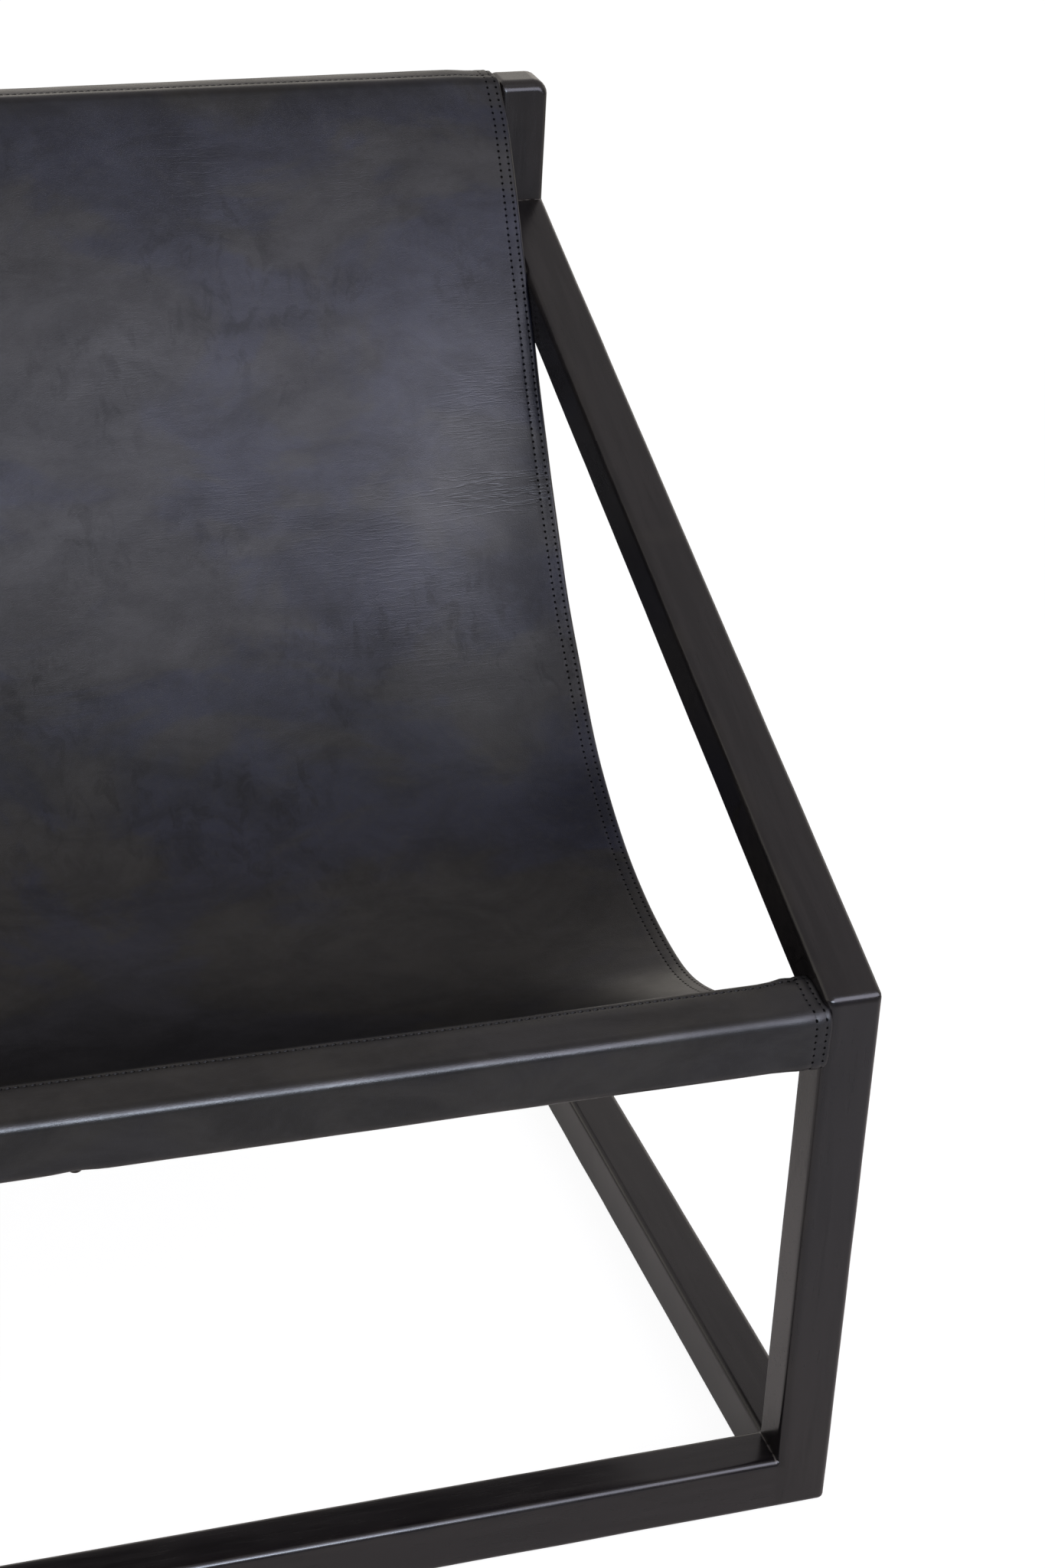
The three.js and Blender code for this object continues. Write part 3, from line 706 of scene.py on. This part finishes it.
def round_rail(rail_bends, front_steps, bend_steps):
    """Points over the back of a rail, then those under it and up its front, then those over its front."""
    top_front, top_back, low_back, low_front = rail_bends
    over_back, over_front = arc(top_back, BEND, 90, 0, 6), arc(top_front, BEND, 180, 90, bend_steps)
    round_back, round_low = arc(low_back, BEND, 0, -90, 6), arc(low_front, BEND, -90, -180, 6)
    under = line(over_back[-1], round_back[0], 5) + round_back + line(round_back[-1], round_low[0], 5)
    return over_back, under + round_low + line(round_low[-1], over_front[0], front_steps), over_front


def eased(value, low, high):
    """0 up to low, 1 from high on, and a smooth step between them."""
    share = min(max((value - low) / (high - low), 0.0), 1.0)
    return share * share * (3.0 - 2.0 * share)


print("leather", LEATHER, "m thick, bent to", round(BEND, 4), "m")

# %% Side line of the hide
FRONT_LEAVE, TOP_LEAVE = 37.5, 57.0
LOW_POINT = Vector((0.0, -0.138, 0.2858))
HANDLES = 0.079, 0.066, 0.229, 0.289
FLAP_FRONT, FLAP_TOP, LAP_RAMP, SLACK = 0.022, 0.020, 0.007, 0.002
up, back = Vector((0.0, 0.0, 1.0)), Vector((0.0, 1.0, 0.0))
stretches = []


def lay(zone, points):
    """Add a stretch of the line: flap, wrap, lap or panel."""
    stretches.extend((zone, point) for point in points)


front_bends = bends(front_low, front_high, SLACK)
top_front, top_back = front_bends[:2]
over_back, under, over_front = round_rail(front_bends, 6, 8)
flap_edge = Vector((0.0, front_low.y + FLAP_FRONT, top_back.z + BEND))
lay("flap", [flap_edge] + line(flap_edge, top_back + up * BEND, 4) + over_back)
lay("wrap", under + over_front)
for point in line(over_front[-1], top_back + up * BEND, 10):
    rise = (point.y - top_front.y) / (flap_edge.y - top_front.y)
    lay("lap", [point + up * LEATHER * min(rise, 1.0)])
crest = arc(top_back, LAP_BEND, 90, 90 - FRONT_LEAVE, 6)
lay("lap", crest)

top_bends = bends(top_low, top_high)
top_front, top_back = top_bends[:2]
ridge = arc(top_front, LAP_BEND, 90 + TOP_LEAVE, 90, 8)
leave = Vector((0.0, math.cos(math.radians(FRONT_LEAVE)), -math.sin(math.radians(FRONT_LEAVE))))
reach = Vector((0.0, math.cos(math.radians(TOP_LEAVE)), math.sin(math.radians(TOP_LEAVE))))
seat = interpolate_bezier(
    crest[-1], crest[-1] + leave * HANDLES[0], LOW_POINT - back * HANDLES[1], LOW_POINT, 46)
rest = interpolate_bezier(
    LOW_POINT, LOW_POINT + back * HANDLES[2], ridge[0] - reach * HANDLES[3], ridge[0], 116)
lay("panel", seat[1:] + rest[1:-1])
lay("lap", ridge)
flap_end = top_low.y + FLAP_TOP
for point in line(top_front + up * BEND, top_back + up * BEND, 10):
    rise = 1.0 - eased(point.y, flap_end, flap_end + LAP_RAMP)
    lay("lap", [point + up * LEATHER * rise])
over_back, under, over_front = round_rail(top_bends, 5, 6)
flap_stop = Vector((0.0, flap_end, top_front.z + BEND))
lay("wrap", over_back + under)
lay("flap", over_front + line(over_front[-1], flap_stop, 4) + [flap_stop])

zones = [zone for zone, point in stretches]
points = [point for zone, point in stretches]
lengths = [0.0]
for before, after in zip(points, points[1:]):
    lengths.append(lengths[-1] + (after - before).length)

# %% Directions and holds along the line
HOLD_EASE, HEM_EASE = 0.05, 0.012
tangents, normals = [], []
for index in range(len(points)):
    before, after = points[max(index - 1, 0)], points[min(index + 1, len(points) - 1)]
    tangent = (after - before).normalized()
    tangents.append(tangent)
    normals.append(Vector((0.0, -tangent.z, tangent.y)))
panel = [index for index, zone in enumerate(zones) if zone == "panel"]
PANEL_START, PANEL_END = lengths[panel[0] - 1], lengths[panel[-1] + 1]
first_wrap, last_wrap = zones.index("wrap"), len(zones) - 1 - zones[::-1].index("wrap")
WRAP_START, WRAP_END = lengths[first_wrap], lengths[last_wrap]


def held(length):
    """1 where the leather lies on a rail, easing to 0 on the free panel."""
    on_front = 1.0 - eased(length - PANEL_START, 0.0, HOLD_EASE)
    return max(on_front, eased(length - PANEL_END, -HOLD_EASE, 0.0))


def hemmed(length):
    """1 where the folded hem lies between the leather and a rail."""
    begun = eased(length - WRAP_START, 0.0, HEM_EASE)
    return min(held(length), begun, 1.0 - eased(length - WRAP_END, -HEM_EASE, 0.0))


def side_line(length):
    """Point, tangent and normal of the line at a length."""
    index = min(max(bisect_right(lengths, length) - 1, 0), len(lengths) - 2)
    share = (length - lengths[index]) / (lengths[index + 1] - lengths[index])
    blend = [pair[index].lerp(pair[index + 1], share) for pair in (points, tangents, normals)]
    return blend[0], blend[1].normalized(), blend[2].normalized()


def first_length(after, test):
    """The first length, past a given one, at which a point of the line passes a test."""
    return next(length for length, point in zip(lengths, points) if length > after and test(point))


print("panel from", round(PANEL_START, 4), "to", round(PANEL_END, 4))

# %% [markdown]
# ## Hanging the hide
# A flat grid is the right start, because a hide starts flat: its two numbers stay on the mesh as a UV map,
# in metres, and stitches, grain and creases are laid out on it. Each grid point is then carried to the hung
# line and pushed off it a little, for the sag, the doubled hem over the rails, the grooves of the stitches,
# the welt beside the crest seam, the puckers at its ends and the dimple at the nail.

# %% Rows of stitches and folds
HEM_EDGE, FOLD, HEM = 0.3236, 0.00125, 0.016
HEM_FLAT = HEM_EDGE - FOLD
HEM_ROWS = 0.3205, 0.3139
UNDER_RAIL, UP_FRONT, ON_TOP = 0.06, 0.09, 0.12
CREST_IN, BACK_IN, EDGE_DOWN = 0.0304, 0.0080, 0.006

nail_low, nail_high = corners(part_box("sleeve_nail"))
nail_x, nail_y = (nail_low.x + nail_high.x) / 2, (nail_low.y + nail_high.y) / 2
nail_row = first_length(UNDER_RAIL, lambda point: point.y < nail_y)
front_edge = first_length(UP_FRONT, lambda point: point.z > front_high.z - EDGE_DOWN)
crest_row = first_length(ON_TOP, lambda point: point.y > front_low.y + CREST_IN)
back_row = first_length(PANEL_END, lambda point: point.y > top_low.y + BACK_IN)
SEAM_ROWS = crest_row, back_row
print("seam rows at", short(SEAM_ROWS))

# %% Where each point of the hide hangs
SAG, HEM_RISE, TOP_HEM_RISE, EAR, WELT, DIMPLE = 0.008, 0.0011, -0.0012, 0.0014, 0.0006, 0.6 * SLACK
HEM_GROOVE, FRONT_GROOVE, SEAM_GROOVE = 0.00014, 0.00016, 0.00045
HEM_GROOVE_WIDE, SEAM_GROOVE_WIDE, WELT_WIDE, EAR_WIDE, DIMPLE_WIDE = 0.0011, 0.0014, 0.0030, 0.011, 0.010
BESIDE_CREST = 0.004
END_BULGE, END_LEAN, TOP_DRAW, WAVER = 0.0014, 0.0022, 0.0032, 0.0005


def dent(distance, width):
    """A bell that is 1 in the middle and near 0 two widths away."""
    return math.exp(-((distance / width) ** 2))


def ripple(across, along, seed):
    """Smooth noise from -1 to 1."""
    return noise.noise(Vector((across, along, seed)))


def stand_off(x, length):
    """How far the grain side stands off the hung line."""
    side = abs(x)
    doubled = HEM_RISE if length < (PANEL_START + PANEL_END) / 2 else TOP_HEM_RISE
    rise = doubled * hemmed(length) * eased(side, 0.290, 0.312)
    on_front = 1.0 - eased(length - PANEL_START, 0.0, 0.03)
    hem_groove = HEM_GROOVE + FRONT_GROOVE * on_front
    rise -= hem_groove * sum(dent(side - row, HEM_GROOVE_WIDE) for row in HEM_ROWS)
    rise -= SEAM_GROOVE * sum(dent(length - row, SEAM_GROOVE_WIDE) for row in SEAM_ROWS)
    rise += WELT * dent(length - crest_row - BESIDE_CREST, WELT_WIDE)
    rise += 0.0006 * on_front * eased(side, 0.298, 0.316) * ripple(160.0 * x, 110.0 * length, 7.0)
    rise -= DIMPLE * dent(math.hypot(x - nail_x, length - nail_row), DIMPLE_WIDE)
    along = min(max((length - PANEL_START) / (PANEL_END - PANEL_START), 0.0), 1.0)
    rise -= SAG * math.sin(math.pi * along) * max(1.0 - (side / HEM_FLAT) ** 4, 0.0)
    rise += 0.0007 * (1.0 - 0.6 * held(length)) * ripple(7.0 * x, 7.0 * length, 0.7)
    rise += 0.00022 * ripple(24.0 * x, 24.0 * length, 4.2)
    pucker = 1.0 + 0.9 * ripple(130.0 * x, 130.0 * length, 2.0)
    rise += EAR * pucker * eased(side, 0.292, 0.318) * dent(length - crest_row + BESIDE_CREST, EAR_WIDE)
    return rise


def hide_point(x, length, under=0.0):
    """Point, tangent and normal of the hung hide; under is how deep it lies below the grain side."""
    point, tangent, normal = side_line(length)
    waver = WAVER * ripple(16.0 * length, math.copysign(9.0, x), 0.0)
    leaning = END_LEAN * dent(length - front_edge + 0.018, 0.022)
    waver += END_BULGE * dent(length - front_edge, 0.010) + leaning
    waver -= TOP_DRAW * eased(length, PANEL_END - 0.035, PANEL_END + 0.015)
    carried = x + math.copysign(eased(abs(x), 0.285, 0.318), x) * waver
    return point + normal * (stand_off(x, length) - under) + Vector((carried, 0.0, 0.0)), tangent, normal


print("middle of the panel hangs at", short(hide_point(0.0, (PANEL_START + PANEL_END) / 2)[0]))

# %% Columns across the hide
COLUMN_STEP, FOLD_STEPS = 0.0064, 6
NEAR_HEM = (
    0.2995, 0.3035, 0.3065, 0.3095, 0.3117, 0.3129, 0.3139,
    0.3149, 0.3161, 0.3177, 0.3193, 0.3205, 0.3214,
)
HEM_INSETS = 0.003, 0.006, 0.0095, 0.013, HEM

half = [COLUMN_STEP / 2 + COLUMN_STEP * step for step in range(46)]
columns = [(x, 0.0, x) for x in (*half, *NEAR_HEM)]
for step in range(FOLD_STEPS + 1):
    angle = math.pi * step / FOLD_STEPS
    out, under = FOLD * math.sin(angle), FOLD * (1.0 - math.cos(angle))
    columns.append((HEM_FLAT + out, under, HEM_FLAT + FOLD * angle))
for inset in HEM_INSETS:
    columns.append((HEM_FLAT - inset, 2.0 * FOLD, HEM_FLAT + FOLD * math.pi + inset))
HALF_FLAT = columns[-1][2]
columns = [(-x, under, -flat) for x, under, flat in reversed(columns)] + columns
print(len(columns), "columns across", round(2 * HALF_FLAT, 4), "m of hide")

# %% Hang the grid
hide = bmesh.new()
bmesh.ops.create_grid(hide, x_segments=len(columns) - 1, y_segments=len(points) - 1, size=1.0)
flat = hide.loops.layers.uv.new("hide")
grid_place = {}
for vert in hide.verts:
    column = round((vert.co.x + 1.0) / 2.0 * (len(columns) - 1))
    row = round((vert.co.y + 1.0) / 2.0 * (len(points) - 1))
    grid_place[vert] = column, row
for face in hide.faces:
    for loop in face.loops:
        column, row = grid_place[loop.vert]
        loop[flat].uv = columns[column][2] + HALF_FLAT, lengths[row]
for vert, (column, row) in grid_place.items():
    x, under, _ = columns[column]
    vert.co = hide_point(x, lengths[row], under)[0]
cut_off = []
for face in hide.faces:
    places = [grid_place[vert] for vert in face.verts]
    in_hem = min(abs(columns[column][2]) for column, row in places) > HEM_FLAT - 1e-6
    if in_hem and all(zones[row] == "flap" for column, row in places):
        cut_off.append(face)
bmesh.ops.delete(hide, geom=cut_off, context="FACES")
print("hide faces:", len(hide.faces), "notched away:", len(cut_off))

# %% [markdown]
# ## Charcoal leather
# The hide is dyed through and waxed: charcoal with a blue cast, mottled like a cloud, with dark blotches in
# patches on the back and a fine grain that only shows in raking light. Colour, gloss and bump all read the
# flat UV map, so nothing slides where the leather bends. The creases are the thin contour lines of a
# stretched noise, kept to a few places by a mask.

# %% Helpers for leather
PITCH, HEM_HOLE, SEAM_HOLE, PRESSED = 0.0048, 0.0011, 0.0014, 0.12


def flat_hide(tree):
    """The flat place on the hide, and the same place split into across and along, in metres."""
    place = add(tree, "UVMap", uv_map="hide").outputs["UV"]
    apart = add(tree, "SeparateXYZ", {0: place}).outputs
    return place, apart["X"], apart["Y"]


def stretched(tree, place, across, along):
    """The flat place in cells of a given size."""
    sockets = {"Vector": place, "Scale": (across, along, 1.0)}
    return add(tree, "Mapping", sockets, vector_type="TEXTURE").outputs["Vector"]


def spot(tree, across, along, place, size):
    """1 at a place on the hide, easing to 0 a given size away."""
    du = sums(tree, "DIVIDE", away(tree, across, place[0] + HALF_FLAT), size[0])
    dv = sums(tree, "DIVIDE", away(tree, along, place[1]), size[1])
    return fade(tree, plus(tree, times(tree, du, du), times(tree, dv, dv)), 1.0, 0.0)


def needle_holes(tree, across, along):
    """1 in the needle holes of every row, and a little in the line that the thread presses between them; it
    dents them and darkens them with painted shade.
    """
    out = away(tree, across, HALF_FLAT)
    rows = [(out, row, along, HEM_HOLE) for row in HEM_ROWS]
    rows += [(along, row, across, SEAM_HOLE) for row in SEAM_ROWS]
    marks = []
    for measured, row, run_along, wide in rows:
        off = away(tree, measured, row)
        beat = sums(tree, "PINGPONG", run_along, PITCH / 2)
        from_hole = sums(tree, "SQRT", plus(tree, times(tree, off, off), times(tree, beat, beat)))
        marks.append(fade(tree, from_hole, wide, wide / 2))
        marks.append(fade(tree, off, 0.0006, 0.0002, 0.0, PRESSED))
    return largest(tree, *marks)


print("needle holes every", PITCH, "m")

# %% Dye of the leather
WARM_DYE, BLUE_DYE, PLAIN_DYE = (0.0108, 0.0097, 0.0084), (0.0060, 0.0078, 0.0205), (0.0128, 0.0111, 0.0086)
DEEP_DYE, PALE_SPECK, BLOTCH = (0.0034, 0.0032, 0.0036), (0.016, 0.0155, 0.0175), (0.0034, 0.0031, 0.0030)
HOLE_SHADE = (0.002, 0.002, 0.002)

leather, tree, shader = new_finish("charcoal_leather_grain")
place, across, along = flat_hide(tree)
out, from_crest = away(tree, across, HALF_FLAT), plus(tree, along, -PANEL_START)
mottle = clouds(tree, stretched(tree, place, 0.20, 0.12), 1.0, 9.0, 0.60, 0.6)
marble = clouds(tree, stretched(tree, place, 0.075, 0.045), 1.0, 9.0, 0.66, 0.5)
speck = clouds(tree, place, 160.0, 3.0, 0.6)
on_top = fade(tree, along, PANEL_END - 0.02, PANEL_END + 0.02)
on_rail = largest(tree, fade(tree, from_crest, 0.02, -0.02), on_top)
plain = largest(tree, on_rail, fade(tree, from_crest, 0.42, 0.18))
dye = mixed(tree, fade(tree, mottle, 0.45, 0.54), WARM_DYE, BLUE_DYE)
dye = mixed(tree, times(tree, plain, 0.8), dye, PLAIN_DYE)
colour = mixed(tree, fade(tree, marble, 0.34, 0.66, 0.45, 1.0), DEEP_DYE, dye)
colour = mixed(tree, fade(tree, speck, 0.44, 0.74, 0.0, 0.35), colour, PALE_SPECK)
blotches = clouds(tree, stretched(tree, place, 0.013, 0.022), 1.0, 6.0, 0.62, 0.6)
patches = fade(tree, clouds(tree, place, 8.0, 2.0), 0.44, 0.64)
on_back = fade(tree, from_crest, 0.28, 0.45, 0.25, 1.0)
blotched = times(tree, fade(tree, blotches, 0.46, 0.64), patches, on_back)
colour = mixed(tree, times(tree, blotched, 0.40), colour, BLOTCH)
holes = needle_holes(tree, across, along)
# Painted shade: the needle holes and the line the thread presses between them are darkened.
colour = mixed(tree, times(tree, holes, 0.9), colour, HOLE_SHADE)
print("dye with", len(tree.nodes), "nodes")

# %% Wax of the leather
elbow = times(
    tree, fade(tree, out, 0.13, 0.29), fade(tree, from_crest, 0.36, 0.48), fade(tree, from_crest, 0.86, 0.66))
shine = plus(tree, fade(tree, marble, 0.32, 0.68, 0.42, 0.55), fade(tree, mottle, 0.36, 0.62, 0.03, -0.02))
shine = times(
    tree, shine, fade(tree, holes, 0.0, 0.8, 1.0, 0.05), fade(tree, blotched, 0.0, 1.0, 1.0, 0.84),
    fade(tree, elbow, 0.0, 1.0, 1.0, 1.5))
tree.links.new(shine, shader.inputs["Specular IOR Level"])
wax = fade(tree, clouds(tree, place, 26.0, 4.0, 0.6), 0.3, 0.7, 0.29, 0.35)
handled = times(tree, on_rail, fade(tree, out, 0.18, 0.30, -0.03, 0.10))
gloss = plus(tree, wax, fade(tree, mottle, 0.40, 0.60, 0.04, 0.0), handled, times(tree, holes, 0.3))
print("wax with", len(tree.nodes), "nodes")

# %% Grain and creases of the leather
CREASES = [
    ((0.275, PANEL_START + 0.638), (0.070, 0.024), 0.30),
    ((0.285, PANEL_START + 0.700), (0.060, 0.045), 0.12),
]

crease_noise = clouds(tree, stretched(tree, place, 0.060, 0.0060), 1.0, 3.0, 0.55, 0.2)
masks = [times(tree, spot(tree, across, along, where, size), depth) for where, size, depth in CREASES]
faint = fade(tree, clouds(tree, place, 6.0, 2.0), 0.50, 0.74, 0.0, 0.12)
crease = times(tree, fade(tree, away(tree, crease_noise, 0.5), 0.045, 0.0), largest(tree, *masks, faint))
voronoi = {"Vector": place, "Scale": 900.0}
cells = add(tree, "TexVoronoi", voronoi, feature="DISTANCE_TO_EDGE").outputs["Distance"]
fine = bump(tree, fade(tree, cells, 0.0, 0.35), 0.00005, 0.55)
pebbled = bump(tree, clouds(tree, place, 70.0, 4.0, 0.6), 0.0003, 0.3, fine)
creased = bump(tree, crease, -0.00035, 0.8, pebbled)
dress(tree, shader, colour, gloss, bump(tree, holes, -0.0006, 0.9, creased))
print("leather with", len(tree.nodes), "nodes")

# %% Flesh side and cut edge
FLESH_DARK, FLESH_PALE, NAP = (0.020, 0.019, 0.019), (0.034, 0.033, 0.034), (0.050, 0.048, 0.048)

flesh, tree, shader = new_finish("leather_flesh_side")
place = flat_hide(tree)[0]
nap = clouds(tree, place, 420.0, 4.0, 0.7)
tone = mixed(tree, fade(tree, clouds(tree, place, 16.0, 4.0, 0.6), 0.3, 0.7), FLESH_DARK, FLESH_PALE)
tone = mixed(tree, fade(tree, nap, 0.35, 0.70, 0.0, 0.5), tone, NAP)
dress(tree, shader, tone, fade(tree, nap, 0.3, 0.7, 0.72, 0.92), bump(tree, nap, 0.0004, 0.6))

cut_edge, shader = speckled(
    "leather_cut_edge", grain=(900.0, 3.0, 0.6), dark=(0.006, 0.006, 0.006), pale=(0.022, 0.020, 0.019),
    rough=(0.40, 0.60), dents=(0.0002, 0.5))
print("flesh and edge ready")

# %% Give the hide its thickness
sling = new_piece("hung_leather_sling", hide, leather, flesh, cut_edge)
thick = sling.modifiers.new("hide_thickness", "SOLIDIFY")
thick.thickness = LEATHER
thick.offset = 0.0
thick.use_even_offset = True
thick.material_offset = 1
thick.material_offset_rim = 2
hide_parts("leather_sling")

# %% [markdown]
# ## Stitches
# Two rows of waxed black thread run down each hem and one along each sleeve, about five stitches to the
# inch. A stitch is a short sausage sunk half into the leather between two needle holes. There are about two
# thousand, so each is a small sphere of few faces, stretched and laid by one matrix, and all of them share
# one mesh.

# %% Thread finish
thread, shader = speckled(
    "waxed_black_thread", grain=(1400.0, 2.0), dark=(0.0055, 0.0053, 0.0058), pale=(0.014, 0.0135, 0.0145),
    rough=(0.45, 0.60), dents=(0.0002, 0.5))
shader.inputs["Specular IOR Level"].default_value = 0.40
print("thread ready")

# %% Sew the rows
HEM_STITCH, SEAM_STITCH = Vector((0.0036, 0.0006, 0.0005)), Vector((0.0036, 0.0011, 0.0009))
SUNK, ROW_END = 0.0002, 0.004
RUN = 32
threads = bmesh.new()


def sew(places, stitch):
    """Lay stitches, each a point, a direction along it and one outward, in short runs to keep bmesh quick."""
    run_mesh = bpy.data.meshes.new("stitch_run")
    for start in range(0, len(places), RUN):
        run = bmesh.new()
        for point, along_stitch, outward in places[start:start + RUN]:
            beside = outward.cross(along_stitch).normalized()
            turn = Matrix((along_stitch, beside, outward)).transposed().to_4x4()
            place = Matrix.Translation(point) @ turn @ Matrix.Diagonal((*(stitch / 2), 1.0))
            bmesh.ops.create_uvsphere(run, u_segments=6, v_segments=4, radius=1.0, matrix=place)
        run.to_mesh(run_mesh)
        run.free()
        threads.from_mesh(run_mesh)
    bpy.data.meshes.remove(run_mesh)


def beats(start, end):
    """The middles of the stitches between two places on a row."""
    first, last = math.ceil((start + ROW_END) / PITCH), int((end - ROW_END) / PITCH)
    return [(step + 0.5) * PITCH for step in range(first, last)]


places = []
for x in [sign * row for sign in (-1, 1) for row in HEM_ROWS]:
    for length in beats(WRAP_START, WRAP_END):
        point, tangent, normal = hide_point(x, length)
        places.append((point + normal * (LEATHER / 2 - SUNK), tangent, normal))
    for length in beats(PANEL_START, PANEL_END):
        point, tangent, normal = hide_point(x, length, 2.0 * FOLD)
        places.append((point - normal * (LEATHER / 2 - SUNK), tangent, -normal))
sew(places, HEM_STITCH)
places = []
across_hide = Vector((1.0, 0.0, 0.0))
for row in SEAM_ROWS:
    for x in beats(-HEM_ROWS[1], HEM_ROWS[1]):
        point, _, normal = hide_point(x, row)
        places.append((point + normal * LEATHER / 2, across_hide, normal))
sew(places, SEAM_STITCH)
stitches = new_piece("sling_stitches", threads, thread)
print("stitch faces:", len(stitches.data.polygons))

# %% [markdown]
# ## Nail and pads
# One small domed nail holds the front sleeve from turning on its rail, and a felt pad sits under each foot.
# Both are round, so each is one profile spun about an upright axis, with its edge rounded in the profile
# itself.

# %% Steel and felt
steel, shader = speckled(
    "browned_steel", grain=(260.0, 3.0), dark=(0.040, 0.035, 0.031), pale=(0.085, 0.076, 0.068),
    rough=(0.28, 0.42), dents=(0.0002, 0.3))
shader.inputs["Metallic"].default_value = 1.0
felt, shader = speckled(
    "dark_felt", grain=(700.0, 4.0, 0.7), dark=(0.020, 0.019, 0.018), pale=(0.075, 0.071, 0.067),
    rough=(0.85, 1.0), dents=(0.0006, 0.7))
print("steel and felt ready")


# %% Spin the nail and the pads
def spun(name, node, finish, profile):
    """Spin a profile of radius and height about the upright axis through a node's middle."""
    low, high = corners(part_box(node))
    centre = Vector(((low.x + high.x) / 2, (low.y + high.y) / 2, 0.0))
    shape = bmesh.new()
    ring = [shape.verts.new(centre + Vector((radius, 0.0, height))) for radius, height in profile]
    edges = [shape.edges.new(pair) for pair in zip(ring, ring[1:])]
    bmesh.ops.spin(
        shape, geom=ring + edges, cent=centre, axis=(0, 0, 1), angle=math.tau, steps=40, use_merge=True)
    bmesh.ops.remove_doubles(shape, verts=shape.verts, dist=1e-6)
    bmesh.ops.recalc_face_normals(shape, faces=shape.faces)
    piece = new_piece(name, shape, finish)
    keep_edges(piece, TURNED_SHARP)
    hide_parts(node)
    print(name, len(piece.data.polygons), "faces")


def quarter(radius, low, high, count):
    """Profile of a dome from its pole at low to its rim at high."""
    angles = [math.pi / 2 * step / count for step in range(count + 1)]
    return [(radius * math.sin(angle), high + (low - high) * math.cos(angle)) for angle in angles]


NAIL_HEAD, NAIL_SHANK, HEAD_HIGH, HEAD_EDGE, NAIL_POINT = 0.0045, 0.001, 0.003, 0.0004, 0.002
rim = nail_low.z + HEAD_HIGH
dome = quarter(NAIL_HEAD, nail_low.z, rim - HEAD_EDGE, 8)
spun("domed_sleeve_nail", "sleeve_nail", steel, dome + [
    (NAIL_HEAD, rim), (NAIL_SHANK, rim), (NAIL_SHANK, nail_high.z - NAIL_POINT), (0.0, nail_high.z)])

PAD, PAD_HIGH, PAD_SOFT, PAD_EDGE = 0.012, 0.002, 0.0007, 0.0003
for corner_name in ("front_left", "front_right", "rear_left", "rear_right"):
    spun("felt_foot_" + corner_name, "floor_pad_" + corner_name, felt, [
        (0.0, 0.0), (PAD - PAD_SOFT, 0.0), (PAD - 0.3 * PAD_SOFT, 0.3 * PAD_SOFT), (PAD, PAD_SOFT),
        (PAD, PAD_HIGH - PAD_EDGE), (PAD - PAD_EDGE, PAD_HIGH), (0.0, PAD_HIGH)])
